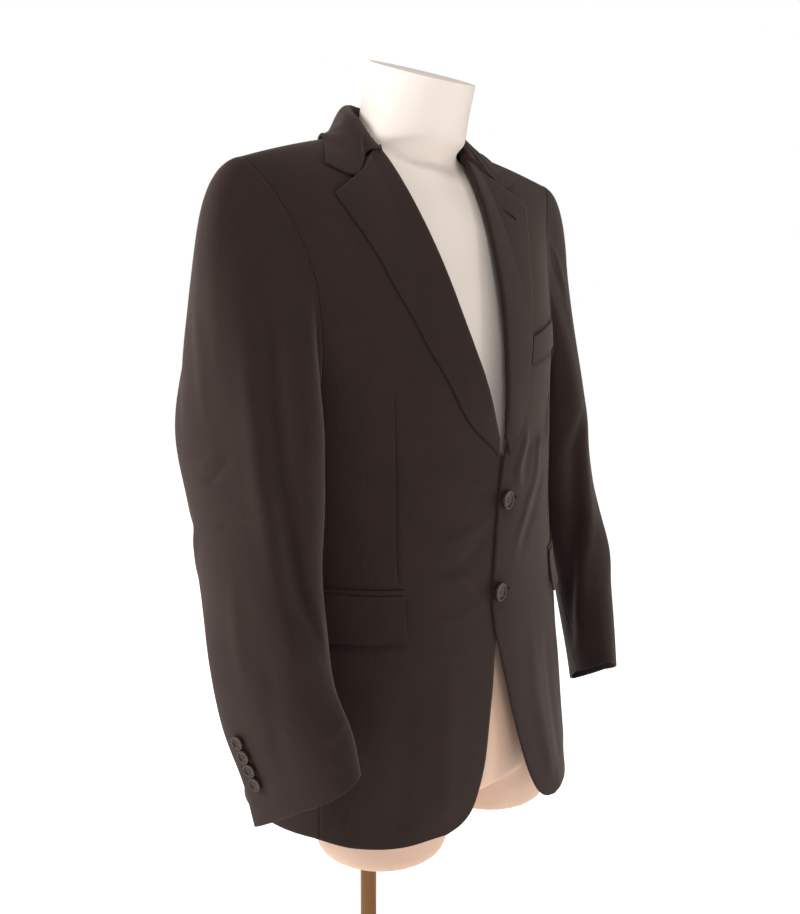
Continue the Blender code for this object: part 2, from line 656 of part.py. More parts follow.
# ----------------------------------------------------------------- sleeves
def sleeve_ring(row, angles, side):
    """One ellipse of the sleeve, tipped forward and turned in at the cuff."""
    up, out, y, across, deep, slope, toe_in = row
    turn = math.radians(toe_in)
    fore = np.array([-math.sin(turn), -math.cos(turn), 0.0])
    fore[2] = -slope
    fore = fore / np.linalg.norm(fore)
    sideways = np.array([math.cos(turn), -math.sin(turn), 0.0])
    wide = across * (1.0 + CUFF_FULL * math.sin(turn) * np.sin(angles))
    points = (np.array([out, y, up]) + (np.cos(angles) * wide)[:, None] * sideways
              + np.sin(angles)[:, None] * deep * fore)
    points[:, 2] -= (CUFF_DROOP * math.sin(turn) * np.clip(np.sin(angles), 0.0, 1.0)
                     * np.abs(np.cos(angles)))
    body_half = column(BODY_COLUMNS, BODY_SECTIONS, "half", points[:, 2])
    is_front = points[:, 1] < MIDDLE_Y
    depth = np.where(is_front, column(BODY_COLUMNS, BODY_SECTIONS, "front", points[:, 2]),
                     column(BODY_COLUMNS, BODY_SECTIONS, "back", points[:, 2]))
    power = np.where(is_front, column(BODY_COLUMNS, BODY_SECTIONS, "power", points[:, 2]),
                     column(BODY_COLUMNS, BODY_SECTIONS, "back_power", points[:, 2]))
    share = np.clip(np.abs(points[:, 1] - MIDDLE_Y) / depth, 0.0, 1.0)
    clear = body_half * (1.0 - share ** power) ** (1.0 / power) + 0.0045
    points[:, 0] = np.maximum(points[:, 0], clear)
    return points * (side, 1.0, 1.0)


def sleeve_outward(grid, side):
    """Outward directions of a sleeve, whose last column meets its first."""
    ring = np.concatenate([grid[:, -1:], grid, grid[:, :1]], axis=1)
    outer = unit(np.cross(np.gradient(ring, axis=1), np.gradient(ring, axis=0)))
    return outer[:, 1:-1] * side


def fold_heights(grid, side):
    """Height of the largest folds over a sleeve: a ridge beside a trough."""
    rows, cols = grid.shape[:2]
    down = np.linspace(0.0, 1.0, rows)[:, None]
    around = np.arange(cols)[None, :] / cols
    total = np.zeros((rows, cols))
    for (fold_side, height, wide), line in SLEEVE_FOLDS:
        if fold_side != side:
            continue
        downs, arounds = zip(*line)
        away = around - smooth_through(downs, arounds, down)
        away = (away + 0.5) % 1.0 - 0.5
        ends = np.clip(np.minimum(down - downs[0], downs[-1] - down) / FOLD_END, 0.0, 1.0)
        total += height * np.exp(-(away / wide) ** 2) * np.sin(ends * math.pi / 2) ** 2
    return total


def sleeve_grid(side, rows=SLEEVE_ROWS):
    """Middle surface of a whole sleeve: rows down the arm, columns around."""
    front, under, back = armhole_places(side)
    loop = np.concatenate([front, under[1:], back[1:-1]])
    points = body_point(loop[:, 0], loop[:, 1])
    normals = body_normal(loop[:, 0], loop[:, 1])
    after = np.roll(points, -1, axis=0)
    before = np.roll(points, 1, axis=0)
    outward = -side * unit(np.cross(after - before, normals))
    run = lengths_along(np.concatenate([points, points[:1]]))
    bottom = run[ARM_ROWS + SIDE_COLS // 2]
    angles = np.where(run[:-1] <= bottom, run[:-1] / bottom * math.pi,
                      math.pi + (run[:-1] - bottom) / (run[-1] - bottom) * math.pi)
    low = np.clip((0.56 - points[:, 2]) / 0.07, 0.0, 1.0)[:, None]
    start = unit(outward * (1.0 - low) + normals * low)
    gap = SEAM_GAP + SEAM_GAP * 2.0 * np.clip((0.64 - points[:, 2:]) / 0.06, 0.0, 1.0)
    origin = points + outward * gap * (1.0 - low) + normals * (0.0004 + 0.0034 * low)
    high = np.clip((points[:, 2:] - 0.56) / 0.12, 0.3, 1.0)
    head = SLEEVE_HEAD * (1.0 - low) * high + 0.02 * low
    rings = [sleeve_ring(row, angles, side) for row in SLEEVE_RINGS]
    grid = np.zeros((rows + 1, len(points), 3))
    for j in range(len(points)):
        knots = np.array([origin[j]] + [ring[j] for ring in rings])
        run_down = lengths_along(knots)
        tangents = np.gradient(knots, run_down, axis=0)
        fine = []
        for i in range(len(knots) - 1):
            t = np.linspace(0.0, 1.0, 24, endpoint=False)[:, None]
            span = run_down[i + 1] - run_down[i]
            lead = start[j] * head[j] if i == 0 else tangents[i] * span
            fine.append((2 * t**3 - 3 * t**2 + 1) * knots[i] + (t**3 - 2 * t**2 + t) * lead
                        + (3 * t**2 - 2 * t**3) * knots[i + 1]
                        + (t**3 - t**2) * tangents[i + 1] * span)
        fine.append(knots[-1:])
        grid[:, j] = resample(np.concatenate(fine), np.linspace(0.0, 1.0, rows + 1))
    along = np.linspace(0.0, 1.0, rows + 1)[:, None, None] / HEAD_PUFF_AT
    puff = HEAD_PUFF * np.clip(0.15 + 0.85 * np.cos(angles + 0.7), 0.0, 1.0)[:, None]
    away = unit(np.stack([side * np.cos(angles), -np.sin(angles), 0.25 + 0.0 * angles], -1))
    grid = grid + along * np.exp(1.0 - along) * puff * away
    grid = grid + sleeve_outward(grid, side) * fold_heights(grid, side)[..., None]
    outer = sleeve_outward(grid, side)
    upper = np.clip((points[:, 2:] - 0.557) / 0.06, 0.0, 1.0)
    outer[0] = unit(normals * upper + outer[0] * (1.0 - upper))
    return grid, outer


def build_sleeves(cloth_look):
    around = 2 * ARM_ROWS + SIDE_COLS
    for side, word in ((1, "left"), (-1, "right")):
        grid, normals = sleeve_grid(side)
        top = [k % around for k in range(HIND_SEAM_COL, around + FORE_SEAM_COL + 1)]
        under = list(range(FORE_SEAM_COL, HIND_SEAM_COL + 1))
        for kind, picks in (("top_sleeve_", top), ("under_sleeve_", under)):
            part = grid[:, picks]
            for _ in range(SLEEVE_TRIMS):
                part = trim_edges(part, ("inner", "outer"))
            shell(kind + word, part, normals[:, picks], CLOTH, cloth_look)


# ------------------------------------------------------- pockets and buttons
def trim_on_body(name, corners, side, lift, cols, rows, look):
    """A small flat piece on the front: corners are out, up, ring order."""
    (a, b, c, d) = [np.array(corner) for corner in corners]
    v = np.linspace(0.0, 1.0, rows + 1)[:, None, None]
    u = np.linspace(0.0, 1.0, cols + 1)[None, :, None]
    flat = (1 - v) * ((1 - u) * a + u * b) + v * ((1 - u) * d + u * c)
    spots = place(flat[..., 0], flat[..., 1], side)
    grid = lift_from_body(spots, lift)
    normals = body_normal(spots[..., 0], spots[..., 1])
    return shell(name, grid, normals, TRIM_CLOTH, look)


def build_pockets(cloth_look):
    under = CLOTH / 2 + SEAM_GAP + TRIM_CLOTH / 2
    for side, word in ((1, "left"), (-1, "right")):
        trim_on_body("flap_" + word, ((0.1174, 0.2326), (0.1835, 0.2352), (0.1810, 0.2848),
                                      (0.1166, 0.2812)), side, under + 0.0012, 8, 4, cloth_look)
        trim_on_body("jet_" + word, ((0.1165, 0.2819), (0.1810, 0.2855), (0.1808, 0.2903),
                                     (0.1162, 0.2867)), side, under + 0.0002, 8, 1, cloth_look)
    trim_on_body("welt_chest", ((0.0700, 0.5048), (0.158, 0.5203), (0.158, 0.5497),
                                (0.0847, 0.5346)), 1, under + 0.0004, 5, 2, cloth_look)


def button(name, centre, axis, radius, look):
    thick = BUTTON_THICK
    profile = ((0.62 * radius, 0.0), (0.93 * radius, 0.18 * thick), (radius, 0.5 * thick),
               (0.95 * radius, 0.9 * thick), (0.84 * radius, thick), (0.70 * radius, 0.72 * thick))
    return turned(name, centre, axis, profile, 16, look)


def build_buttons(button_look):
    for (x, up), word in zip(FRONT_BUTTONS, ("upper", "lower")):
        spot = place(x, up, 1)
        normal = body_normal(spot[0], spot[1])
        foot = body_point(spot[0], spot[1]) + normal * (LAP_LIFT + CLOTH / 2 + 0.0006)
        button("button_front_" + word, foot, normal, FRONT_BUTTON_RADIUS, button_look)
    near = HIND_SEAM_COL + 1
    for side, word in ((1, "left"), (-1, "right")):
        grid, normals = sleeve_grid(side, CUFF_LINE_ROWS)
        line = blend(grid[::-1, near], grid[::-1, near + 1], CUFF_BUTTON_SHARE)
        facing = unit(blend(normals[::-1, near], normals[::-1, near + 1], CUFF_BUTTON_SHARE))
        length = lengths_along(line)[-1]
        for k in range(CUFF_BUTTONS):
            share = (CUFF_BUTTON_FIRST + k * CUFF_BUTTON_STEP) / length
            spot = resample(line, np.array([share]))[0]
            outward = facing[int(round(share * CUFF_LINE_ROWS))]
            foot = spot + outward * (CLOTH / 2 + CUFF_BUTTON_STANDOFF)
            button("button_cuff_%s_%d" % (word, k + 1), foot, outward,
                   CUFF_BUTTON_RADIUS, button_look)


# ------------------------------------------------------ dress form and stand
def form_ring(up, count, columns=FORM_COLUMNS, rows=FORM_SECTIONS):
    half = float(column(columns, rows, "half", up))
    front = float(column(columns, rows, "front", up))
    back = float(column(columns, rows, "back", up))
    power = float(column(columns, rows, "power", up))
    slope = float(column(columns, rows, "slope", up))
    middle = 0.5 * (front + back)
    deep = 0.5 * (back - front)
    angles = np.linspace(0.0, 2 * math.pi, count, endpoint=False)
    cosine = np.cos(angles)
    sine = np.sin(angles)
    x = half * np.sign(cosine) * np.abs(cosine) ** (2.0 / power)
    y = middle + deep * np.sign(sine) * np.abs(sine) ** (2.0 / power)
    return np.stack([x, y, up + slope * (y - middle)], axis=1)


def inside_cloth(points, clear):
    """Draw ring points in towards the middle until they clear the cloth."""
    centre = np.array([0.0, MIDDLE_Y])
    arms = points[:, :2] - centre
    low = np.zeros(len(points))
    high = np.ones(len(points))
    up = points[:, 2]
    for _ in range(24):
        share = 0.5 * (low + high)
        spot = centre + arms * share[:, None]
        top, ridge_y = shoulder_line(spot[:, 0])
        half = column(BODY_COLUMNS, BODY_SECTIONS, "half", up) - clear
        rise = np.clip((up - CHEST_UP) / (top - clear - CHEST_UP), 0.0, 1.0)
        middle = MIDDLE_Y + (ridge_y - MIDDLE_Y) * rise
        held = (np.abs(spot[:, 0]) < half) & (up < top - clear)
        for key, power_key, sign, fall in (("front", "power", -1.0, FRONT_ROUND),
                                           ("back", "back_power", 1.0, BACK_ROUND)):
            depth = column(BODY_COLUMNS, BODY_SECTIONS, key, up)
            power = column(BODY_COLUMNS, BODY_SECTIONS, power_key, up)
            across = np.clip(np.abs(spot[:, 0]) / half, 0.0, 1.0)
            reach = depth * (1.0 - across ** power) ** (1.0 / power)
            reach = reach * (1.0 - rise ** 2) ** (fall / 2.0) - clear
            held &= sign * (spot[:, 1] - middle) < reach
        low = np.where(held, share, low)
        high = np.where(held, high, share)
    free = np.clip((up - FORM_FREE_FROM) / FORM_FREE_OVER, 0.0, 1.0)
    share = blend(low, 1.0, free)
    return np.column_stack([centre + arms * share[:, None], up])


def build_form(form_look):
    count = 28
    levels = np.concatenate([np.linspace(0.0, 0.62, 15), (0.65, 0.675, 0.695, 0.712),
                             (0.726, 0.742, 0.765, 0.790, 0.814)])
    rings = np.array([inside_cloth(form_ring(up, count), FORM_CLEAR) for up in levels])
    vertices = rings.reshape(-1, 3)
    faces = [tuple(range(count))]
    for i in range(len(levels) - 1):
        for k in range(count):
            after = (k + 1) % count
            faces.append((i * count + k, i * count + after,
                          (i + 1) * count + after, (i + 1) * count + k))
    last = (len(levels) - 1) * count
    faces.append(tuple(last + k for k in range(count)))
    torso = add_object("form_torso", vertices, faces, form_look)
    for side in (1, -1):
        profile = ((THIGH_RADIUS - 0.003, 0.0), (THIGH_RADIUS, 0.004),
                   (THIGH_RADIUS, 0.055), (THIGH_RADIUS - 0.012, 0.110))
        thigh = turned("thigh", (side * THIGH_AT[0], THIGH_AT[1], THIGH_DOWN), (0, 0, 1),
                       profile, 24, form_look)
        join = torso.modifiers.new("join", "BOOLEAN")
        join.operation = "UNION"
        join.solver = "EXACT"
        join.object = thigh
        bpy.context.view_layer.objects.active = torso
        bpy.ops.object.modifier_apply(modifier="join")
        bpy.data.objects.remove(thigh)
    torso.data.materials.clear()
    torso.data.materials.append(make_material("form_torso_look", *form_look))


def build_stand(metal_look):
    top = THIGH_DOWN - SEAM_GAP
    floor = -HEM_UP
    profile = ((BASE_RADIUS, 0.0), (BASE_RADIUS, BASE_THICK - 0.002),
               (BASE_RADIUS - 0.002, BASE_THICK))
    base = turned("stand", (0.0, 0.0, floor), (0, 0, 1), profile, 48, metal_look)
    pole = turned("pole", (POLE_AT[0], POLE_AT[1], floor + 0.004), (0, 0, 1),
                  ((POLE_RADIUS, 0.0), (POLE_RADIUS, top - floor - 0.004)), 20, metal_look)
    join = base.modifiers.new("join", "BOOLEAN")
    join.operation = "UNION"
    join.solver = "EXACT"
    join.object = pole
    bpy.context.view_layer.objects.active = base
    bpy.ops.object.modifier_apply(modifier="join")
    bpy.data.objects.remove(pole)


def main():
    for thing in list(bpy.data.objects):
        bpy.data.objects.remove(thing)
    cloth_look = ((0.022, 0.018, 0.017), 0.85, 0.0, 0.15)
    button_look = ((0.030, 0.027, 0.026), 0.25, 0.0, 0.0)
    form_look = ((0.78, 0.72, 0.64), 0.55, 0.0, 0.0)
    metal_look = ((0.35, 0.27, 0.19), 0.32, 1.0, 0.0)
    build_panels(cloth_look)
    build_lapels(cloth_look)
    build_collar(cloth_look)
    build_sleeves(cloth_look)
    build_pockets(cloth_look)
    build_buttons(button_look)
    build_form(form_look)
    build_stand(metal_look)


main()
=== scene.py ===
"""Dressed model of a two-button wool blazer worn by a limbless dress form on a stand.

Metres, +Z up, the front faces -Y, the wearer's left is +X, the floor is z = 0.
Heights in the tables are above the level of the hem, which is HEM_UP above the
floor. "out" is the distance from the middle of the body, towards either side.
"""
import math

import bmesh
import bpy
import numpy as np
from mathutils import Matrix, Vector


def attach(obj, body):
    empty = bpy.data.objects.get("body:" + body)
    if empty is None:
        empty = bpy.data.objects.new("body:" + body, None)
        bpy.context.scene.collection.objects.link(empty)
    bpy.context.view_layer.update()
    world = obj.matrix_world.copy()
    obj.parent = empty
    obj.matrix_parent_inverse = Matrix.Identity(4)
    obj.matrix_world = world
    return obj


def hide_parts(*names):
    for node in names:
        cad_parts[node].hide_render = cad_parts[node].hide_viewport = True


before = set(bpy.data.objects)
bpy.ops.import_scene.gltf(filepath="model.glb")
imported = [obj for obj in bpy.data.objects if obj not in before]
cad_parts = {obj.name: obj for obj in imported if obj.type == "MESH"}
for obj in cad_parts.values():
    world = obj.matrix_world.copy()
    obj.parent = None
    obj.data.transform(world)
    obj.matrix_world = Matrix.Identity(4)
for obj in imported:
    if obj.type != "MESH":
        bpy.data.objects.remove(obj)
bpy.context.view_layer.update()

# ------------------------------------------------------------ garment sizes
HEM_UP = 0.345            # level of the hem above the floor
CLOTH = 0.0020            # wall of a body panel or a sleeve
LAPEL_CLOTH = 0.0018      # wall of the collar and the lapels
TRIM_CLOTH = 0.0016       # wall of flaps, jets and welt
JET_LAYER = 0.0007        # one layer of a jet, which is folded double
SEAM_GAP = 0.0003         # clear width between two sewn pieces
RIM_IN = 0.18             # both faces of a sheet end this share of its thickness inside
RIM_FLAT = 0.30           # half the flat of its rim, as a share of the thickness
MIDDLE_Y = 0.020          # middle of the body, front to back
CHEST_UP = 0.470          # level of the armpit
BELOW_SCALE = 0.39        # height of one unit of rise below the armpit
NECK_POINT = (0.080, 0.030, 0.742)    # shoulder seam at the neck: out, y, up
SHOULDER_TIP = (0.226, 0.018, 0.7105)  # shoulder seam at the sleeve
SHOULDER_BEND = 1.35      # how the shoulder line steepens towards the sleeve
NECK_SLOPE = 0.36         # slope of the cloth between neck and shoulder seam
FRONT_ROUND = 1.4         # how the chest falls back to the shoulder line
BACK_ROUND = 0.95
FIRST_REACH = 0.26        # a first guess of the height from armpit to shoulder
FLARE = 0.020             # lower corner of the left front swings forward
FLARE_UP = 0.135          # height where the swing starts
FLARE_OUT = 0.195         # distance from the middle where it has run out
FLARE_OVER = 0.10
CORNER_DROP = 0.0066      # lower corner of the left front below that of the right
CORNER_DROP_UP = 0.06     # height where the drop starts
CORNER_DROP_OVER = 0.04
FRONT_SEAM_TURN = 1.12    # side front seam, angle round the body
BACK_SEAM_TURN = 1.98     # side back seam
UNDERARM = ((1.40, 0.032), (1.60, 0.020), (1.80, 0.034))  # armhole: turn, rise
RIDGE_FROM = 0.80         # rise from which the outward direction turns up
RIDGE_LEAN = 0.33         # how far it still leans outwards along the shoulder seam
LAP_LIFT = 0.0017         # left front lies this far outside, right front inside
LAP_MIDDLE = -0.006       # middle of the lapped strip and half its width
LAP_HALF = 0.030
LAP_FADE = 0.045
LAP_TOP = 0.500           # the fronts lie level again from here up
LAP_TOP_FADE = 0.06
ROLL_SETBACK = 0.0042     # front panel ends this far behind the fold of the lapel
ROLL_LIFT = 0.0043        # lapel above the front near its fold
EDGE_LIFT = 0.0027        # lapel above the front at its outer edge
ROLL_INSIDE = 0.0006      # lapel starts this far in from the end of the front
ROLL_PROFILE = (          # across the roll: share of the fold's depth, share of the lift
    (0.35, 0.84),
    (0.75, 0.95),
    (1.30, 0.99),
)
LAPEL_FLAT = 0.0021       # lapel above the front where it runs out at the break
SETBACK_FROM = 0.414      # height at which the front starts to end behind the fold
SETBACK_OVER = 0.012      # the height it takes
LAPEL_RUN_OUT = 0.14      # share of the lapel over which it rises from the break
TUCK_STEPS = (0.0010, 0.0022, 0.0034, 0.0046)  # rows of a lapel under the collar
TUCK_RISE = 0.38          # how far the tucked rows rise for their length
LEAF_FOLD_COLS = 5.0      # columns of the collar's leaf that stay on the fold
LEAF_EASE_COLS = 11.0     # columns over which it comes down to the lapel

SIDES = ((1, "left"), (-1, "right"))

# ------------------------------------------------- grid counts of the pieces
SIDE_ROWS = 165           # hem to armpit
ARM_ROWS = 64             # armpit to shoulder tip
SHOULDER_COLS = 72
NECK_COLS = 20
SIDE_COLS = 32
SLEEVE_ROWS = 230
FORE_SEAM_COL = ARM_ROWS + SIDE_COLS // 4  # columns of the two sleeve seams
HIND_SEAM_COL = ARM_ROWS + SIDE_COLS + ARM_ROWS // 2

BODY_COLUMNS = ("up", "half", "front", "power", "back", "back_power")
BODY_SECTIONS = (
    (-0.12, 0.222, 0.160, 2.10, 0.142, 2.2),
    (0.00, 0.216, 0.157, 2.10, 0.140, 2.2),
    (0.11, 0.213, 0.151, 2.10, 0.132, 2.2),
    (0.20, 0.206, 0.143, 2.10, 0.112, 2.2),
    (0.28, 0.198, 0.140, 2.00, 0.094, 2.2),
    (0.37, 0.193, 0.141, 1.88, 0.094, 2.3),
    (0.47, 0.197, 0.133, 1.90, 0.108, 2.5),
    (0.53, 0.203, 0.124, 2.05, 0.122, 2.6),
    (0.59, 0.207, 0.117, 2.15, 0.130, 2.6),
    (0.65, 0.223, 0.111, 2.20, 0.132, 2.6),
    (0.71, 0.256, 0.107, 2.20, 0.134, 2.5),
    (0.80, 0.300, 0.105, 2.20, 0.136, 2.4),
)
CLOSING_COLUMNS = ("up", "shift", "out")
CLOSING_LINE = (          # shift of the closing line, then the front edge out from it
    (0.0122, -0.0020, 0.0808),
    (0.0175, -0.0020, 0.0631),
    (0.0280, -0.0020, 0.0479),
    (0.0492, -0.0020, 0.0356),
    (0.0791, -0.0010, 0.0262),
    (0.125, -0.0015, 0.0168),
    (0.160, -0.0015, 0.0092),
    (0.205, -0.0033, 0.0005),
    (0.230, -0.0035, -0.0050),
    (0.262, -0.0040, -0.0078),
    (0.300, -0.0020, -0.0080),
    (0.340, 0.0005, -0.0088),
    (0.370, 0.0020, -0.0085),
    (0.400, 0.0030, -0.0045),
    (0.421, 0.0030, 0.0005),
    (0.435, 0.0020, 0.0030),
    (0.470, 0.0000, 0.0104),
)
ROLL_LINE = (             # out, up of the fold of the lapel
    (0.0030, 0.435),
    (0.0104, 0.470),
    (0.0172, 0.500),
    (0.0315, 0.560),
    (0.0425, 0.620),
    (0.0540, 0.680),
    (0.0625, 0.727),
)
LAPEL_EDGE = (            # out, up of the outer edge, from the break to the tip
    (0.0060, 0.415),
    (0.0190, 0.429),
    (0.0320, 0.441),
    (0.0455, 0.458),
    (0.0650, 0.500),
    (0.0800, 0.530),
    (0.0920, 0.560),
    (0.1050, 0.590),
    (0.1155, 0.620),
    (0.1300, 0.650),
    (0.1450, 0.680),
)
BACK_NECK = (             # out, up of the back neck seam
    (0.0000, 0.7375),
    (0.0250, 0.7375),
    (0.0500, 0.7390),
    (0.0700, 0.7415),
)
ARM_FRONT = (             # out, up of the armhole, armpit to shoulder tip
    (0.1775, 0.489),
    (0.1768, 0.515),
    (0.1765, 0.545),
    (0.1770, 0.585),
    (0.1825, 0.620),
    (0.1925, 0.652),
    (0.2080, 0.684),
)
ARM_BACK = (
    (0.1880, 0.500),
    (0.1835, 0.530),
    (0.1830, 0.570),
    (0.1870, 0.610),
    (0.1950, 0.650),
    (0.2090, 0.685),
)
COLLAR_STATIONS = (       # centre back to front end: seam, fold, fall, edge
    ((0.000, 0.0915, 0.7410), (0.000, 0.0875, 0.7830),
     (0.000, 0.1010, 0.7690), (0.000, 0.1120, 0.7330)),
    ((0.042, 0.0800, 0.7420), (0.040, 0.0725, 0.7830),
     (0.049, 0.0880, 0.7680), (0.057, 0.0990, 0.7345)),
    ((0.070, 0.0530, 0.7450), (0.062, 0.0520, 0.7760),
     (0.075, 0.0650, 0.7600), (0.090, 0.0720, 0.7410)),
    ((0.0775, 0.0325, 0.7465), (0.0720, 0.0295, 0.7640),
     (0.090, 0.0330, 0.7565), (0.1175, 0.0330, 0.7435)),
    ((0.071, 0.0130, 0.7340), (0.0700, 0.0070, 0.7400),
     (0.102, -0.0010, 0.7225), (0.128, 0.0130, 0.7295)),
    ((0.0668, 0.0030, 0.7280), (0.0664, -0.0030, 0.7300),
     (0.1163, -0.0171, 0.6984), (0.1428, -0.0063, 0.7079)),
)
SLEEVE_RINGS = (          # up, out, y, across, deep, slope, toe-in in degrees
    (0.440, 0.2275, 0.0140, 0.0380, 0.0808, -0.05, 21.0),
    (0.370, 0.2300, 0.0026, 0.0395, 0.0735, -0.12, 21.5),
    (0.300, 0.2375, -0.0115, 0.0384, 0.0686, -0.25, 20.0),
    (0.245, 0.2470, -0.0355, 0.0332, 0.0637, -0.38, 33.0),
    (0.185, 0.2465, -0.0504, 0.0287, 0.0635, -0.50, 32.5),
    (0.130, 0.2370, -0.0700, 0.0245, 0.0643, -0.58, 33.4),
    (0.092, 0.2345, -0.0800, 0.0203, 0.0650, -0.64, 32.0),
)
SLEEVE_HEAD = 0.12        # how far the cap runs out before it turns down
UNDERARM_HEAD = 0.02      # and the same under the arm
UNDERARM_UP = 0.56        # below this the armhole counts as under the arm
UNDERARM_GAP = 0.0036     # sleeve further out there, clear of the side panel
SLEEVE_CLEAR = 0.0045     # sleeve outside the side of the body
CUFF_FULL = 0.80          # front half of the cuff is wider
CUFF_DROOP = 0.014        # and hangs lower
HEAD_PUFF = 0.0148        # upper sleeve stands out from the shoulder seam
HEAD_PUFF_TURN = 0.7      # it is fullest behind the top of the shoulder, radians
HEAD_PUFF_AT = 0.13       # where it is fullest, as a share of the sleeve
FOLD_END = 0.08           # share of the sleeve over which a fold runs out
SLEEVE_FOLDS = (          # side, height, width as a share around; (down, around) along it
    ((-1, 0.0030, 0.050), ((0.10, 0.040), (0.34, 0.060), (0.52, 0.085), (0.80, 0.100))),
    ((-1, -0.0042, 0.050), ((0.12, 0.105), (0.32, 0.120), (0.50, 0.150), (0.74, 0.210))),
    ((1, 0.0030, 0.050), ((0.36, 0.170), (0.60, 0.240), (0.80, 0.330), (0.97, 0.370))),
    ((1, -0.0042, 0.050), ((0.34, 0.225), (0.60, 0.310), (0.78, 0.400), (0.95, 0.470))),
)
FORM_COLUMNS = ("up", "half", "front", "back", "power", "slope")
FORM_SECTIONS = (         # hips to neck cap; front and back are y
    (0.000, 0.158, -0.096, 0.060, 2.2, 0.0),
    (0.03, 0.176, -0.112, 0.104, 2.2, 0.0),
    (0.08, 0.185, -0.118, 0.128, 2.2, 0.0),
    (0.16, 0.184, -0.112, 0.122, 2.2, 0.0),
    (0.24, 0.172, -0.106, 0.100, 2.1, 0.0),
    (0.33, 0.162, -0.106, 0.092, 2.1, 0.0),
    (0.42, 0.172, -0.102, 0.108, 2.1, 0.0),
    (0.50, 0.178, -0.088, 0.122, 2.2, 0.0),
    (0.57, 0.184, -0.070, 0.130, 2.3, 0.0),
    (0.62, 0.190, -0.054, 0.127, 2.3, 0.0),
    (0.66, 0.196, -0.040, 0.119, 2.2, 0.0),
    (0.69, 0.180, -0.030, 0.110, 2.1, 0.0),
    (0.712, 0.130, -0.027, 0.100, 2.0, 0.0),
    (0.730, 0.078, -0.030, 0.084, 2.0, 0.0),
    (0.750, 0.0620, -0.036, 0.079, 2.0, 0.05),
    (0.775, 0.0595, -0.042, 0.075, 2.0, 0.12),
    (0.814, 0.0572, -0.052, 0.062, 2.0, 0.32),
)
FORM_CLEAR = 0.0060       # form inside the middle of the cloth
FORM_FREE_FROM = 0.722    # from here up the neck leaves the cloth
FORM_FREE_OVER = 0.020
FORM_VOXEL = 0.0046       # grain at which torso and thighs are blended
FORM_FOOT = 0.030         # lowest full ring of the torso above the hem
FORM_RING_COLS = 96
THIGH_AT = (0.089, -0.030)  # middle of a thigh stub: out, y
THIGH_RADIUS = 0.0745
THIGH_DOWN = -0.030       # flat end of a thigh stub, above the hem
THIGH_PROFILE = (         # above the flat end, more than the radius
    (0.0, -0.0040),
    (0.0012, -0.0012),
    (0.0040, 0.0),
    (0.055, 0.0010),
    (0.090, -0.0050),
    (0.125, -0.0220),
)
POLE_AT = (-0.092, -0.011)
POLE_RADIUS = 0.0095
BASE_RADIUS = 0.170
BASE_THICK = 0.012
SOCKET_RADIUS = 0.019     # collar of the base plate that holds the pole
SOCKET_HIGH = 0.016
HEM_LEVELS = (            # turn from the front, height of the hem
    (0.0, 0.0118),
    (0.4, 0.0118),
    (0.63, 0.009),
    (0.9, 0.0125),
    (1.2, 0.021),
    (1.6, 0.022),
    (2.2, 0.018),
    (math.pi, 0.016),
)
LEFT_DROPS = (            # turn from the front, left hem below the right
    (0.0, CORNER_DROP),
    (0.6, CORNER_DROP),
    (1.2, 0.003),
    (2.2, 0.0),
    (math.pi, 0.0),
)
DART = ((0.1196, 0.4975), (0.1217, 0.3186), (0.1212, 0.2940))  # out, up, top to pocket
DART_HALF = 0.0009        # half the width of the stitched groove
DART_DEPTH = 0.0011
DART_PUCKER = 0.00045     # cloth raised beside the dart
FLAP_CORNERS = ((0.1174, 0.2326), (0.1835, 0.2352), (0.1810, 0.2848), (0.1166, 0.2812))
JET_CORNERS = ((0.1165, 0.2819), (0.1810, 0.2855), (0.1808, 0.2903), (0.1162, 0.2867))
WELT_CORNERS = ((0.0700, 0.5048), (0.158, 0.5203), (0.158, 0.5497), (0.0847, 0.5346))
FLAP_LIFT = 0.0012        # flap, jet and welt above their lowest place on the front
JET_LIFT = 0.0002
WELT_LIFT = 0.0004
FLAP_CURL = 0.0034        # lower edge of the flap stands off the front
FLAP_CORNER_RADIUS = 0.003
FRONT_BUTTONS = ((0.0030, 0.368), (-0.0040, 0.267))
FRONT_BUTTON_TURNS = (0.15, 0.62)      # how far each is turned on its thread
CUFF_BUTTON_TURNS = (0.1, 0.75, 0.4, 1.1)
FRONT_BUTTON_STANDOFF = 0.0018
FRONT_BUTTON_RADIUS = 0.0102
CUFF_BUTTON_RADIUS = 0.0072
BUTTON_THICK = 0.0036
CUFF_BUTTON_STEP = 0.0151
CUFF_BUTTON_FIRST = 0.044  # lowest cuff button above the edge of the cuff
CUFF_BUTTON_STANDOFF = 0.0012
CUFF_BUTTON_SHARE = 0.75  # between two lines of the sleeve beside the hind seam
BUTTON_TILT = 10.0        # front buttons hang a little towards the left, degrees
HOLE_OUT = 0.24           # holes from the middle, as a share of the radius
THREAD_RADIUS = 0.00034   # thread of the buttons
STITCH_RADIUS = 0.00062   # thread ring of the buttonholes
STITCH_PITCH = 0.0009
BUTTONHOLES = (           # name, two ends (out, up), lift, width
    ("lapel", ((0.0915, 0.6720), (0.1085, 0.6625)),
     EDGE_LIFT + 0.0008 + LAPEL_CLOTH / 2, 0.0017),
    ("upper", ((0.0005, 0.3680), (0.0225, 0.3672)), CLOTH / 2 + 0.0001, 0.0018),
    ("lower", ((-0.0060, 0.2670), (0.0160, 0.2660)), CLOTH / 2 + 0.0001, 0.0018),
)
LAMPS = (                 # name, place, size, watts, tint
    ("right", (1.8, -2.3, 0.75), 0.9, 16, (1.0, 0.92, 0.84)),
    ("left", (-2.2, 1.0, 2.0), 1.3, 58, (1.0, 0.97, 0.97)),
    ("top", (-0.75, -0.85, 2.5), 0.5, 13, (1.0, 0.98, 0.97)),
    ("back", (0.6, 2.8, 1.9), 1.8, 8, (1.0, 0.98, 0.96)),
)
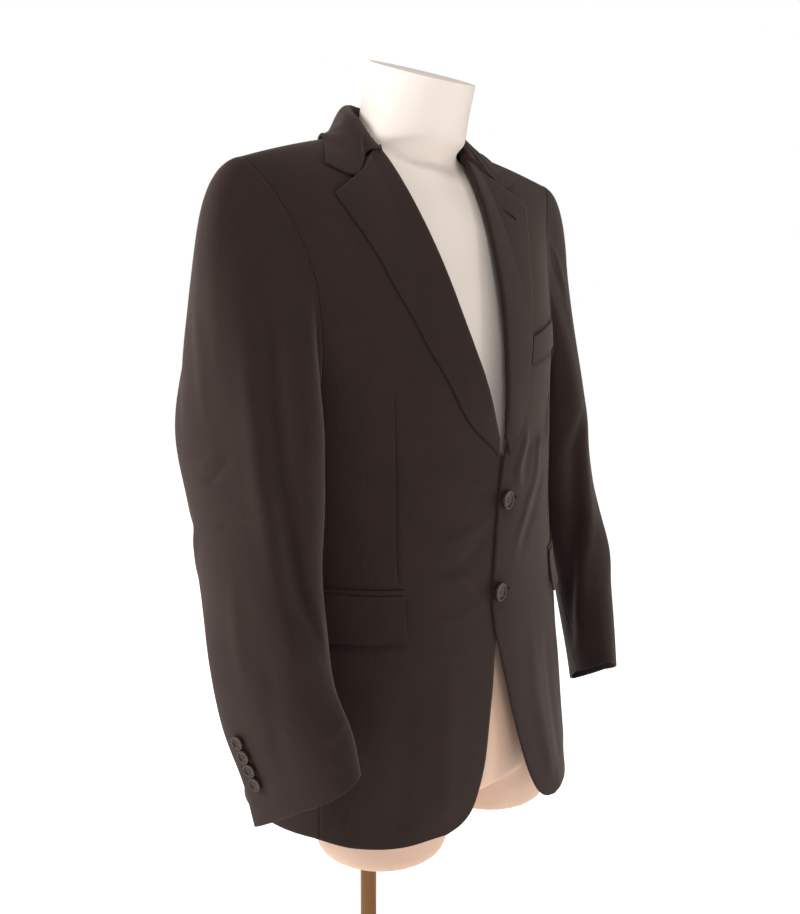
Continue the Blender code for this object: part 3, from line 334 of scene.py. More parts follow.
LAMPS_TOWARDS = (0.0, 0.0, 0.75)
WORLD_STRENGTH = 0.29     # light of the white room on the object
FLOOR_GLOW = 0.74
CAMERA_AT = (-0.768, -0.775, 0.954)
CAMERA_TURNS = (43.417, 11.04, 0.336)  # yaw, pitch and roll in degrees
SENSOR = 36.0
FOCAL_SHARE = 967.7 / 914.0  # focal length as a share of the height of the picture

# ---------------------------------------------- creases, placed one by one
# Each row: surface, side, points along it, width and height (a trough is below 0),
# and, where it isn't (0.3, 0.3), the shares of its length over which the two ends
# fade. Points are (out, up) on the front and the back, and (degrees round from the
# front, up) on the sides.
DRAG_LINES_LEFT = (
    ("front", 1, ((0.052, 0.447), (0.0448, 0.4262), (0.0265, 0.3926), (0.0326, 0.3700)),
     0.0055, 0.0022, (0.35, 0.3)),
    ("front", 1, ((0.140, 0.484), (0.1274, 0.4683), (0.0998, 0.4173), (0.0816, 0.4208),
                  (0.0696, 0.3838), (0.048, 0.3538), (0.0278, 0.315), (0.0206, 0.2869)),
     0.0060, 0.0023, (0.25, 0.25)),
    ("front", 1, ((0.100, 0.395), (0.072, 0.350), (0.046, 0.318), (0.032, 0.285)),
     0.0080, -0.0017, (0.3, 0.4)),
    ("front", 1, ((0.062, 0.430), (0.046, 0.400), (0.042, 0.376)), 0.0070, -0.0014),
    ("front", 1, ((0.060, 0.225), (0.066, 0.150), (0.076, 0.060), (0.080, 0.022)),
     0.0130, 0.0019, (0.4, 0.1)),
    ("front", 1, ((0.098, 0.215), (0.108, 0.120), (0.116, 0.030)),
     0.0140, -0.0019, (0.4, 0.1)),
    ("front", 1, ((0.142, 0.205), (0.150, 0.110), (0.154, 0.025)),
     0.0150, 0.0018, (0.4, 0.1)),
)
DRAG_LINES_RIGHT = (
    ("front", -1, ((0.004, 0.356), (0.042, 0.338), (0.086, 0.326)), 0.0065, 0.0010),
    ("front", -1, ((0.010, 0.384), (0.050, 0.392), (0.092, 0.412)), 0.0075, 0.0011),
    ("front", -1, ((0.012, 0.340), (0.056, 0.306), (0.094, 0.298)), 0.0080, -0.0010),
    ("front", -1, ((0.014, 0.262), (0.052, 0.248), (0.092, 0.252)), 0.0080, 0.0009),
    ("front", -1, ((0.020, 0.285), (0.060, 0.290), (0.098, 0.300)), 0.0070, 0.0009),
    ("front", -1, ((0.070, 0.200), (0.078, 0.120), (0.086, 0.030)),
     0.0150, 0.0014, (0.4, 0.1)),
    ("front", -1, ((0.120, 0.195), (0.128, 0.110), (0.134, 0.028)),
     0.0150, -0.0016, (0.4, 0.1)),
    ("front", -1, ((0.160, 0.560), (0.152, 0.520), (0.148, 0.470)),
     0.0110, -0.0013, (0.4, 0.5)),
)
SIDE_FOLDS = (
    ("round", 1, ((84, 0.455), (88, 0.400), (96, 0.350)), 0.0090, -0.0020),
    ("round", 1, ((70, 0.410), (80, 0.375), (98, 0.352)), 0.0080, 0.0016),
    ("round", 1, ((104, 0.440), (112, 0.390), (128, 0.352)), 0.0090, -0.0022),
    ("round", 1, ((92, 0.300), (96, 0.180), (97, 0.030)), 0.0160, 0.0024, (0.4, 0.1)),
    ("round", 1, ((112, 0.280), (118, 0.150), (121, 0.028)), 0.0170, -0.0026, (0.4, 0.1)),
    ("round", -1, ((80, 0.450), (90, 0.402), (99, 0.358)), 0.0085, -0.0019),
    ("round", -1, ((68, 0.398), (84, 0.366), (103, 0.357)), 0.0085, 0.0017),
    ("round", -1, ((101, 0.446), (116, 0.396), (131, 0.361)), 0.0095, -0.0021),
    ("round", -1, ((95, 0.305), (99, 0.170), (101, 0.030)), 0.0170, 0.0022, (0.4, 0.1)),
    ("round", -1, ((116, 0.270), (120, 0.160), (125, 0.030)), 0.0160, -0.0025, (0.4, 0.1)),
)
BACK_FOLDS = (
    ("back", 1, ((0.163, 0.600), (0.150, 0.540), (0.143, 0.470), (0.146, 0.410)),
     0.0120, 0.0026, (0.4, 0.4)),
    ("back", 1, ((0.142, 0.560), (0.128, 0.500), (0.124, 0.440)), 0.0110, -0.0020),
    ("back", 1, ((0.024, 0.392), (0.070, 0.378), (0.118, 0.385)), 0.0080, 0.0015),
    ("back", 1, ((0.018, 0.356), (0.066, 0.346), (0.112, 0.352)), 0.0090, -0.0017),
    ("back", 1, ((0.030, 0.320), (0.064, 0.312), (0.098, 0.318)), 0.0070, 0.0011),
    ("back", 1, ((0.020, 0.700), (0.070, 0.692), (0.120, 0.678)), 0.0100, -0.0010),
    ("back", 1, ((0.070, 0.240), (0.078, 0.130), (0.084, 0.025)),
     0.0180, 0.0026, (0.4, 0.1)),
    ("back", 1, ((0.112, 0.230), (0.124, 0.120), (0.132, 0.025)),
     0.0170, -0.0024, (0.4, 0.1)),
    ("back", -1, ((0.166, 0.610), (0.155, 0.545), (0.149, 0.480), (0.151, 0.425)),
     0.0125, 0.0025, (0.4, 0.4)),
    ("back", -1, ((0.146, 0.570), (0.134, 0.512), (0.128, 0.450)), 0.0105, -0.0021),
    ("back", -1, ((0.022, 0.383), (0.064, 0.369), (0.125, 0.379)), 0.0085, 0.0014),
    ("back", -1, ((0.028, 0.349), (0.072, 0.338), (0.118, 0.341)), 0.0080, -0.0016),
    ("back", -1, ((0.016, 0.327), (0.052, 0.322), (0.088, 0.329)), 0.0070, 0.0010),
    ("back", -1, ((0.024, 0.706), (0.078, 0.690), (0.130, 0.671)), 0.0100, -0.0011),
    ("back", -1, ((0.062, 0.250), (0.072, 0.140), (0.080, 0.026)),
     0.0175, 0.0024, (0.4, 0.1)),
    ("back", -1, ((0.118, 0.225), (0.128, 0.115), (0.139, 0.026)),
     0.0170, -0.0023, (0.4, 0.1)),
)
# On a sleeve a point is (share down the arm, share round from the shoulder), and a
# row has no surface and side.
CREASES_RIGHT_SLEEVE = (
    (((0.210, 0.060), (0.295, 0.062), (0.380, 0.070), (0.460, 0.078), (0.540, 0.095),
      (0.620, 0.118), (0.715, 0.114), (0.800, 0.096)), 0.0090, 0.0036),
    (((0.130, 0.098), (0.200, 0.112), (0.300, 0.114), (0.380, 0.122), (0.450, 0.128),
      (0.510, 0.142), (0.565, 0.172), (0.635, 0.198), (0.720, 0.205)),
     0.0100, -0.0052, (0.25, 0.2)),
    (((0.500, 0.165), (0.565, 0.196), (0.635, 0.222), (0.700, 0.228), (0.770, 0.222)),
     0.0060, 0.0028),
    (((0.470, 0.930), (0.474, 0.965), (0.462, 0.000), (0.440, 0.030)),
     0.0042, -0.0019),
    (((0.552, 0.955), (0.552, 0.013), (0.535, 0.062)), 0.0042, -0.0013),
    (((0.448, 0.925), (0.452, 0.960), (0.438, 0.995)), 0.0050, 0.0010),
    (((0.720, 0.037), (0.800, 0.037), (0.880, 0.013), (0.945, 0.988)),
     0.0110, -0.0016),
    (((0.905, 0.113), (0.895, 0.175), (0.880, 0.250)), 0.0050, 0.0012),
    (((0.180, 0.950), (0.255, 0.963), (0.355, 0.963), (0.430, 0.975)),
     0.0090, 0.0013, (0.4, 0.4)),
    (((0.600, 0.000), (0.715, 0.975), (0.810, 0.963)), 0.0100, 0.0014, (0.4, 0.4)),
    (((0.030, 0.800), (0.140, 0.820), (0.280, 0.850), (0.400, 0.870)),
     0.0110, -0.0020, (0.3, 0.4)),
    (((0.060, 0.700), (0.180, 0.730), (0.320, 0.770)), 0.0110, 0.0022, (0.3, 0.4)),
    (((0.470, 0.840), (0.500, 0.780), (0.515, 0.710)), 0.0075, -0.0022),
    (((0.515, 0.860), (0.545, 0.800), (0.560, 0.740)), 0.0070, 0.0017),
    (((0.435, 0.780), (0.450, 0.720), (0.455, 0.670)), 0.0070, 0.0015),
    (((0.080, 0.560), (0.160, 0.585), (0.260, 0.610)), 0.0090, -0.0020, (0.2, 0.4)),
    (((0.400, 0.540), (0.430, 0.480), (0.440, 0.420)), 0.0070, -0.0016),
)
CREASES_LEFT_SLEEVE = (
    (((0.400, 0.180), (0.460, 0.200), (0.600, 0.243), (0.715, 0.287), (0.810, 0.338),
      (0.850, 0.350), (0.900, 0.340), (0.945, 0.362)), 0.0080, 0.0022, (0.3, 0.2)),
    (((0.360, 0.222), (0.430, 0.240), (0.520, 0.272), (0.630, 0.314), (0.780, 0.400),
      (0.895, 0.463)), 0.0100, -0.0020),
    (((0.005, 0.138), (0.060, 0.125), (0.105, 0.125), (0.160, 0.118)),
     0.0052, 0.0012),
    (((0.030, 0.165), (0.090, 0.152), (0.150, 0.145)), 0.0060, -0.0010),
    (((0.130, 0.225), (0.260, 0.275), (0.400, 0.275)), 0.0090, -0.0014, (0.3, 0.4)),
    (((0.110, 0.030), (0.240, 0.060), (0.380, 0.085)), 0.0100, -0.0020, (0.3, 0.4)),
    (((0.440, 0.080), (0.460, 0.030), (0.475, 0.990)), 0.0055, -0.0018),
    (((0.490, 0.095), (0.515, 0.040), (0.530, 0.985)), 0.0055, 0.0014),
    (((0.560, 0.090), (0.680, 0.120), (0.830, 0.160)), 0.0100, 0.0019, (0.4, 0.3)),
    (((0.600, 0.990), (0.740, 0.005), (0.880, 0.030)), 0.0100, -0.0016),
    (((0.040, 0.810), (0.150, 0.835), (0.270, 0.860), (0.390, 0.890)),
     0.0110, -0.0021, (0.3, 0.4)),
    (((0.050, 0.710), (0.170, 0.745), (0.340, 0.790)), 0.0115, 0.0020, (0.3, 0.4)),
    (((0.462, 0.830), (0.492, 0.775), (0.505, 0.700)), 0.0070, -0.0023),
    (((0.520, 0.870), (0.552, 0.805), (0.570, 0.730)), 0.0075, 0.0018),
    (((0.425, 0.800), (0.442, 0.730), (0.448, 0.680)), 0.0065, 0.0014),
    (((0.080, 0.555), (0.150, 0.580), (0.250, 0.605)), 0.0090, -0.0021, (0.2, 0.4)),
    (((0.410, 0.545), (0.436, 0.490), (0.445, 0.430)), 0.0070, -0.0017),
)


# ----------------------------------------------------------- small helpers
def cubic(t, start, leave, end, arrive):
    """Curve from start to end that leaves and arrives along the given steps."""
    return ((2 * t**3 - 3 * t**2 + 1) * start + (t**3 - 2 * t**2 + t) * leave
            + (3 * t**2 - 2 * t**3) * end + (t**3 - t**2) * arrive)


def smooth_through(xs, ys, at):
    """Monotone cubic through the points (xs, ys), worked out at `at`."""
    xs = np.asarray(xs, float)
    ys = np.asarray(ys, float)
    at = np.asarray(at, float)
    step = np.diff(xs)
    rate = np.diff(ys) / step
    slope = np.concatenate(([rate[0]], np.zeros(len(xs) - 2), [rate[-1]]))
    for i in range(1, len(xs) - 1):
        if rate[i - 1] * rate[i] > 0.0:
            first = 2.0 * step[i] + step[i - 1]
            second = step[i] + 2.0 * step[i - 1]
            slope[i] = (first + second) / (first / rate[i - 1] + second / rate[i])
    i = np.clip(np.searchsorted(xs, at, side="right") - 1, 0, len(xs) - 2)
    t = np.clip((at - xs[i]) / step[i], 0.0, 1.0)
    return cubic(t, ys[i], step[i] * slope[i], ys[i + 1], step[i] * slope[i + 1])


def column(columns, rows, key, at):
    """Read one named column of a table, smoothly, at heights `at`."""
    ups = [row[0] for row in rows]
    values = [row[columns.index(key)] for row in rows]
    return smooth_through(ups, values, at)


def body(key, up):
    """One measure of the body at heights `up`."""
    return column(BODY_COLUMNS, BODY_SECTIONS, key, up)


def lengths_along(points):
    """Length of a line of points up to each of them."""
    steps = np.linalg.norm(np.diff(points, axis=0), axis=1)
    return np.concatenate(([0.0], np.cumsum(steps)))


def resample(points, shares):
    """Points at the given shares of the length of a line of points."""
    points = np.asarray(points, float)
    run = lengths_along(points)
    return np.stack([np.interp(np.asarray(shares) * run[-1], run, points[:, k])
                     for k in range(points.shape[1])], axis=1)


def rounded_line(points, per_span=12):
    """A smooth line through the given points."""
    points = np.asarray(points, float)
    run = lengths_along(points)
    fine = np.concatenate([np.linspace(run[i], run[i + 1], per_span, endpoint=False)
                           for i in range(len(run) - 1)] + [[run[-1]]])
    return np.stack([smooth_through(run, points[:, k], fine)
                     for k in range(points.shape[1])], axis=1)


def unit(vectors):
    """Vectors of length 1 in the same directions."""
    size = np.linalg.norm(vectors, axis=-1, keepdims=True)
    return vectors / np.maximum(size, 1e-12)


def blend(first, second, share):
    """From the first to the second by a share."""
    return first * (1.0 - share) + second * share


def ease(value):
    """0 below 0, 1 above 1, and a soft step between."""
    value = np.clip(value, 0.0, 1.0)
    return value * value * (3.0 - 2.0 * value)


# -------------------------------------------------------- form of the body
def shoulder_line(out):
    """Height and depth of the shoulder line at a distance from the middle."""
    share = (np.abs(out) - NECK_POINT[0]) / (SHOULDER_TIP[0] - NECK_POINT[0])
    drop = (NECK_POINT[2] - SHOULDER_TIP[2]) * np.abs(share) ** SHOULDER_BEND
    rise = NECK_SLOPE * (NECK_POINT[0] - np.abs(out))
    up = NECK_POINT[2] + np.where(share > 0.0, -drop, rise)
    clipped = np.clip(share, 0.0, 1.0)
    return up, NECK_POINT[1] + clipped * (SHOULDER_TIP[1] - NECK_POINT[1])


def body_point(turn, rise):
    """Point of the cloth: turn 0 front, pi back, sign = side; rise 1 = shoulder."""
    turn = np.asarray(turn, float)
    rise = np.asarray(rise, float)
    around = np.abs(turn)
    is_front = around < math.pi / 2
    arc = np.clip(rise, 0.0, 1.0) * math.pi / 2
    low = CHEST_UP + rise * BELOW_SCALE
    up = np.where(rise < 0.0, low, CHEST_UP + np.sin(arc) * FIRST_REACH)
    for _ in range(12):   # width and height above the armpit depend on each other
        power = np.where(is_front, body("power", up), body("back_power", up))
        out = body("half", up) * np.abs(np.sin(around)) ** (2.0 / power)
        top = shoulder_line(out)[0]
        up = np.where(rise < 0.0, low, CHEST_UP + np.sin(arc) * (top - CHEST_UP))
    depth = np.where(is_front, -body("front", up), body("back", up))
    fall = np.cos(arc) ** np.where(is_front, FRONT_ROUND, BACK_ROUND)
    depth = depth * np.abs(np.cos(around)) ** (2.0 / power) * fall
    share = np.where(rise < 0.0, 0.0, np.sin(arc))
    middle = MIDDLE_Y + (shoulder_line(out)[1] - MIDDLE_Y) * share
    sign = np.where(turn < 0.0, -1.0, 1.0)
    swing = np.clip((FLARE_UP - up) / FLARE_UP, 0.0, 1.2) ** 1.6
    swing = swing * np.clip((FLARE_OUT - out) / FLARE_OVER, 0.0, 1.0) ** 0.8
    swing = np.where((turn > 0.0) & is_front, swing * FLARE, 0.0)
    return np.stack([sign * out, middle + depth - swing, up], axis=-1)


def body_normal(turn, rise):
    """Outward direction of the cloth; along the shoulder seam it points up."""
    step = 1e-3
    inner = np.clip(np.asarray(rise, float), -3.0, 0.93)
    turn = np.asarray(turn, float)
    middle_back = np.abs(turn) > math.pi - 1e-6
    turn = np.clip(turn, -math.pi + 2 * step, math.pi - 2 * step)
    along = body_point(turn + step, inner) - body_point(turn - step, inner)
    upward = body_point(turn, inner + step) - body_point(turn, inner - step)
    normal = unit(np.cross(along, upward))
    normal[..., 0] = np.where(middle_back, 0.0, normal[..., 0])
    ridge = np.stack([RIDGE_LEAN * np.sign(turn), np.zeros_like(turn),
                      np.ones_like(turn)], -1)
    weight = np.clip((np.asarray(rise, float) - RIDGE_FROM) / (1.0 - RIDGE_FROM), 0.0, 1.0)
    weight = weight[..., None] ** 2
    return unit(normal * (1.0 - weight) + unit(ridge) * weight)


def place(out, up, side, back=False):
    """Turn and rise of the cloth point at `out`, `up` (side +1 left, -1 right)."""
    out = np.asarray(out, float)
    up = np.asarray(up, float)
    power = body("back_power" if back else "power", up)
    share = np.clip(np.abs(out) / body("half", up), 0.0, 1.0)
    around = np.arcsin(share ** (power / 2.0))
    around = math.pi - around if back else around
    top = shoulder_line(out)[0]
    high = np.arcsin(np.clip((up - CHEST_UP) / (top - CHEST_UP), 0.0, 1.0)) * 2 / math.pi
    rise = np.where(up < CHEST_UP, (up - CHEST_UP) / BELOW_SCALE, high)
    return np.stack([np.sign(side) * np.where(out < 0.0, -around, around), rise], axis=-1)


def point_at(places):
    """Points of the cloth at (turn, rise) places."""
    return body_point(places[..., 0], places[..., 1])


def normal_at(places):
    """Outward directions of the cloth at (turn, rise) places."""
    return body_normal(places[..., 0], places[..., 1])


def lift_from_body(places, lift):
    """Points on the cloth moved out by `lift`."""
    amount = np.asarray(lift, float) * np.ones_like(places[..., 0])
    return point_at(places) + normal_at(places) * amount[..., None]


def patch(left, right, bottom, top):
    """Fill four boundary lines (rows x columns) smoothly, corner to corner."""
    rows = len(left)
    cols = len(bottom)
    v = np.linspace(0.0, 1.0, rows)[:, None, None]
    u = np.linspace(0.0, 1.0, cols)[None, :, None]
    corners = ((1 - u) * (1 - v) * bottom[0] + u * (1 - v) * bottom[-1]
               + (1 - u) * v * top[0] + u * v * top[-1])
    return ((1 - v) * bottom[None] + v * top[None]
            + (1 - u) * left[:, None] + u * right[:, None] - corners)


def places_by_length(places, shares):
    """Resample a line of (turn, rise) by its true length on the cloth."""
    places = np.asarray(places, float)
    fine = resample(places, np.linspace(0.0, 1.0, 320))
    run = lengths_along(point_at(fine))
    wanted = np.asarray(shares) * run[-1]
    return np.stack([np.interp(wanted, run, fine[:, 0]),
                     np.interp(wanted, run, fine[:, 1])], axis=1)


# --------------------------------------------------------------- the creases
def crease(points, width, depth, fade=(0.3, 0.3)):
    """A soft ridge (depth above 0) or trough along a line, fading at its ends."""
    run = lengths_along(np.asarray(points, float))
    count = max(int(run[-1] / 0.003), 6)
    shares = np.linspace(0.0, 1.0, count)
    line = resample(rounded_line(points), shares)
    ends = ease(shares / max(fade[0], 1e-3)) * ease((1.0 - shares) / max(fade[1], 1e-3))
    return line, width * (0.7 + 0.3 * ends), depth * ends


def crease_height(points, creases):
    """How far each point of a grid moves out, from all the creases near it."""
    flat = points.reshape(-1, 3)
    height = np.zeros(len(flat))
    for line, width, depth in creases:
        reach = 2.6 * float(np.max(width))
        near = np.all((flat > line.min(0) - reach) & (flat < line.max(0) + reach), axis=1)
        picked = np.flatnonzero(near)
        for start in range(0, len(picked), 6000):
            some = picked[start:start + 6000]
            away = ((flat[some][:, None, :] - line[None]) ** 2).sum(-1)
            bump = depth * np.exp(-away / width ** 2)
            best = np.abs(bump).argmax(1)
            height[some] += bump[np.arange(len(some)), best]
    return height.reshape(points.shape[:-1])


def on_front(side, *spots):
    """Points on the front of the cloth from (out, up) pairs."""
    spots = np.array(spots)
    return point_at(place(spots[:, 0], spots[:, 1], side))


def on_back(side, *spots):
    """Points on the back of the cloth from (out, up) pairs."""
    spots = np.array(spots)
    return point_at(place(spots[:, 0], spots[:, 1], side, back=True))


def round_body(side, *spots):
    """Points on the cloth from (degrees round from the front, up) pairs."""
    spots = np.array(spots)
    turns = side * np.radians(spots[:, 0])
    return body_point(turns, (spots[:, 1] - CHEST_UP) / BELOW_SCALE)


def on_sleeve(grid, *spots):
    """Points on a sleeve from (share down the arm, share round from the shoulder)."""
    rows, cols = grid.shape[:2]
    points = []
    for down, around in spots:
        row = min(int(down * (rows - 1)), rows - 1)
        exact = (around % 1.0) * cols
        first = int(exact) % cols
        mix = exact - int(exact)
        points.append(grid[row, first] * (1 - mix) + grid[row, (first + 1) % cols] * mix)
    return np.array(points)


def body_creases():
    """Drag lines to the buttons and soft folds, no two alike."""
    surfaces = {"front": on_front, "back": on_back, "round": round_body}
    rows = DRAG_LINES_LEFT + DRAG_LINES_RIGHT + SIDE_FOLDS + BACK_FOLDS
    return [crease(surfaces[kind](side, *spots), *shape) for kind, side, spots, *shape in rows]


def sleeve_creases(grid, side):
    """Long folds down the sleeve and short ones at the inside of the elbow."""
    rows = CREASES_LEFT_SLEEVE if side > 0 else CREASES_RIGHT_SLEEVE
    return [crease(on_sleeve(grid, *spots), *shape) for spots, *shape in rows]


# ------------------------------------------------------- colours and finishes
def shade(code):
    """Linear colour from a hex code as seen on a screen."""
    parts = [int(code[i:i + 2], 16) / 255.0 for i in (1, 3, 5)]
    linear = [c / 12.92 if c <= 0.04045 else ((c + 0.055) / 1.055) ** 2.4 for c in parts]
    return tuple(linear) + (1.0,)


def add_node(tree, kind, settings=None, links=None):
    """Add a node, set its sockets and properties, and link its inputs."""
    made = tree.nodes.new(kind)
    for key, value in (settings or {}).items():
        if isinstance(key, int) or key in made.inputs:
            made.inputs[key].default_value = value
        else:
            setattr(made, key, value)
    for key, source in (links or {}).items():
        tree.links.new(source, made.inputs[key])
    return made


def finish_named(name, roughness, metallic=0.0, **sockets):
    """A new material and its shader, with the constants on the shader's sockets."""
    material = bpy.data.materials.new(name)
    material.use_nodes = True
    tree = material.node_tree
    shader = tree.nodes["Principled BSDF"]
    shader.inputs["Roughness"].default_value = roughness
    shader.inputs["Metallic"].default_value = metallic
    for key, value in sockets.items():
        shader.inputs[key.replace("_", " ")].default_value = value
    return material, tree, shader


def waves(tree, source, pitch, label):
    """Rise and fall once for each `pitch` metres of a coordinate."""
    turns = add_node(tree, "ShaderNodeMath", {"operation": "MULTIPLY", 1: 2 * math.pi / pitch,
                                              "label": label}, {0: source})
    return add_node(tree, "ShaderNodeMath", {"operation": "SINE"}, {0: turns.outputs[0]})


def worsted_wool(name):
    """Worsted suiting: fine dyed yarn, tightly woven and pressed, so it is matt with a
    faint bloom of fibre ends at grazing angles and a barely visible diagonal rib."""
    material, tree, shader = finish_named(name, 0.80, Sheen_Weight=0.30, Sheen_Roughness=0.50,
                                          Specular_IOR_Level=0.16)
    shader.inputs["Sheen Tint"].default_value = shade("#b5a49b")
    cut = add_node(tree, "ShaderNodeUVMap", {"uv_map": "cut"})
    axes = add_node(tree, "ShaderNodeSeparateXYZ", links={0: cut.outputs[0]})
    both = add_node(tree, "ShaderNodeMath", {"operation": "ADD"},
                    {0: axes.outputs[0], 1: axes.outputs[1]})
    # the real rib is 0.5 mm and a thread 0.25 mm: both drawn wider so that they show
    rib = waves(tree, both.outputs[0], 0.0016, "twill rib")
    warp = waves(tree, axes.outputs[0], 0.0011, "warp threads")
    weave = add_node(tree, "ShaderNodeMath", {"operation": "MULTIPLY_ADD", 1: 0.5},
                     {0: warp.outputs[0], 2: rib.outputs[0]})
    fibre = add_node(tree, "ShaderNodeTexNoise", {"Scale": 900.0, "Detail": 3.0,
                                                  "Roughness": 0.65, "label": "fibre, 1 mm"},
                     {"Vector": cut.outputs[0]})
    yarn_set = add_node(tree, "ShaderNodeMapping", {"Scale": (900.0, 60.0, 1.0)},
                        {"Vector": cut.outputs[0]})
    yarn = add_node(tree, "ShaderNodeTexNoise", {"Scale": 1.0, "Detail": 2.0,
                                                 "label": "uneven yarn"},
                    {"Vector": yarn_set.outputs[0]})
    cloudy = add_node(tree, "ShaderNodeTexNoise", {"Scale": 22.0, "Detail": 3.0,
                                                   "label": "pressing marks, 45 mm"},
                      {"Vector": cut.outputs[0]})
    melange = add_node(tree, "ShaderNodeMix", {"data_type": "RGBA", "blend_type": "MIX",
                                               6: shade("#1e1311"), 7: shade("#2c1e1b")},
                       {0: fibre.outputs[0]})
    shaded = add_node(tree, "ShaderNodeMix", {"data_type": "RGBA", "blend_type": "MIX",
                                              7: shade("#33231d")}, {6: melange.outputs[2]})
    lighter = add_node(tree, "ShaderNodeMapRange", {"From Min": 0.35, "From Max": 0.75,
                                                    "To Min": 0.0, "To Max": 0.35},
                       {"Value": yarn.outputs[0]})
    tree.links.new(lighter.outputs[0], shaded.inputs[0])
    washed = add_node(tree, "ShaderNodeMix", {"data_type": "RGBA", "blend_type": "MULTIPLY",
                                              0: 1.0}, {6: shaded.outputs[2]})
    tone = add_node(tree, "ShaderNodeMapRange", {"From Min": 0.3, "From Max": 0.7,
                                                 "To Min": 0.90, "To Max": 1.08},
                    {"Value": cloudy.outputs[0]})
    tree.links.new(tone.outputs[0], washed.inputs[7])
    tree.links.new(washed.outputs[2], shader.inputs["Base Color"])
    height = add_node(tree, "ShaderNodeMath", {"operation": "MULTIPLY_ADD", 1: 1.6},
                      {0: fibre.outputs[0], 2: weave.outputs[0]})
    relief = add_node(tree, "ShaderNodeBump", {"Strength": 0.35, "Distance": 0.00012},
                      {"Height": height.outputs[0]})
    tree.links.new(relief.outputs[0], shader.inputs["Normal"])
    return material


def polished_horn(name):
    """Buffalo-horn style polyester: poured, turned and tumble polished to a soft shine,
    nearly black, with faint brown streaks."""
    material, tree, shader = finish_named(name, 0.36, Coat_Weight=0.10, Coat_Roughness=0.2,
                                          Specular_IOR_Level=0.30)
    shader.inputs["Specular Tint"].default_value = shade("#e6c8b2")
    where = add_node(tree, "ShaderNodeTexCoord")
    streaks = add_node(tree, "ShaderNodeMapping", {"Scale": (900.0, 250.0, 250.0)},
                       {"Vector": where.outputs["Object"]})
    cloud = add_node(tree, "ShaderNodeTexNoise", {"Scale": 0.5, "Detail": 3.0},
                     {"Vector": streaks.outputs[0]})
    tint = add_node(tree, "ShaderNodeMix", {"data_type": "RGBA", 6: shade("#1c140f"),
                                            7: shade("#3b2a20")}, {0: cloud.outputs[0]})
    tree.links.new(tint.outputs[2], shader.inputs["Base Color"])
    return material


def sewing_thread(name, colour):
    """Spun polyester thread, two-ply: a fine twist and a soft shine."""
    material, tree, shader = finish_named(name, 0.62, Sheen_Weight=0.05, Specular_IOR_Level=0.15)
    where = add_node(tree, "ShaderNodeTexCoord")
    twist = add_node(tree, "ShaderNodeTexNoise", {"Scale": 1800.0, "Detail": 1.0},
                     {"Vector": where.outputs["Object"]})
    tint = add_node(tree, "ShaderNodeMix", {"data_type": "RGBA", 6: shade(colour),
                                            7: shade("#241b17")}, {0: twist.outputs[0]})
    tree.links.new(tint.outputs[2], shader.inputs["Base Color"])
    relief = add_node(tree, "ShaderNodeBump", {"Strength": 0.5, "Distance": 0.0001},
                      {"Height": twist.outputs[0]})
    tree.links.new(relief.outputs[0], shader.inputs["Normal"])
    return material


def sprayed_form(name):
    """Glass-fibre dress form, sprayed with matt warm-white paint: an even, faintly
    pebbled coat, with painted shade that turns it warmer and darker from the waist down."""
    material, tree, shader = finish_named(name, 0.55, Specular_IOR_Level=0.35)
    where = add_node(tree, "ShaderNodeTexCoord")
    pebble = add_node(tree, "ShaderNodeTexNoise", {"Scale": 450.0, "Detail": 2.0,
                                                   "label": "spray texture, 2 mm"},
                      {"Vector": where.outputs["Object"]})
    dust = add_node(tree, "ShaderNodeTexNoise", {"Scale": 7.0, "Detail": 4.0,
                                                 "label": "uneven toning, 140 mm"},
                    {"Vector": where.outputs["Object"]})
    tint = add_node(tree, "ShaderNodeMix", {"data_type": "RGBA", 6: shade("#e3d7cd"),
                                            7: shade("#ece2d9")}, {0: dust.outputs[0]})
    # painted shade: the form turns warmer and darker from 0.80 m down to 0.50 m
    heights = add_node(tree, "ShaderNodeSeparateXYZ", links={0: where.outputs["Object"]})
    painted_shade_share = add_node(tree, "ShaderNodeMapRange", {"From Min": 0.80, "From Max": 0.50},
                        {"Value": heights.outputs[2]})
    painted_low_shade = add_node(tree, "ShaderNodeMix", {"data_type": "RGBA", 7: shade("#dcb9a2")},
                    {0: painted_shade_share.outputs[0], 6: tint.outputs[2]})
    tree.links.new(painted_low_shade.outputs[2], shader.inputs["Base Color"])
    relief = add_node(tree, "ShaderNodeBump", {"Strength": 0.12, "Distance": 0.0002},
                      {"Height": pebble.outputs[0]})
    tree.links.new(relief.outputs[0], shader.inputs["Normal"])
    return material


def brushed_bronze(name):
    """Steel tube and spun disc, brushed and bronze plated under clear lacquer."""
    material, tree, shader = finish_named(name, 0.30, 1.0)
    where = add_node(tree, "ShaderNodeTexCoord")
    grain = add_node(tree, "ShaderNodeMapping", {"Scale": (2500.0, 2500.0, 12.0)},
                     {"Vector": where.outputs["Object"]})
    lines = add_node(tree, "ShaderNodeTexNoise", {"Scale": 1.0, "Detail": 2.0,
                                                  "label": "brush lines, 0.4 mm"},
                     {"Vector": grain.outputs[0]})
    tint = add_node(tree, "ShaderNodeMix", {"data_type": "RGBA", 6: shade("#4d3523"),
                                            7: shade("#83603f")}, {0: lines.outputs[0]})
    tree.links.new(tint.outputs[2], shader.inputs["Base Color"])
    rough = add_node(tree, "ShaderNodeMapRange", {"To Min": 0.20, "To Max": 0.42},
                     {"Value": lines.outputs[0]})
    tree.links.new(rough.outputs[0], shader.inputs["Roughness"])
    return material


# ------------------------------------------------------------ making a sheet
def inward_steps(grid):
    """Unit step from each edge point of a grid towards its inside."""
    step = np.zeros_like(grid)
    step[0] += unit(grid[1] - grid[0])
    step[-1] += unit(grid[-2] - grid[-1])
    step[:, 0] += unit(grid[:, 1] - grid[:, 0])
    step[:, -1] += unit(grid[:, -2] - grid[:, -1])
    return step


def link(thing):
    bpy.context.scene.collection.objects.link(thing)


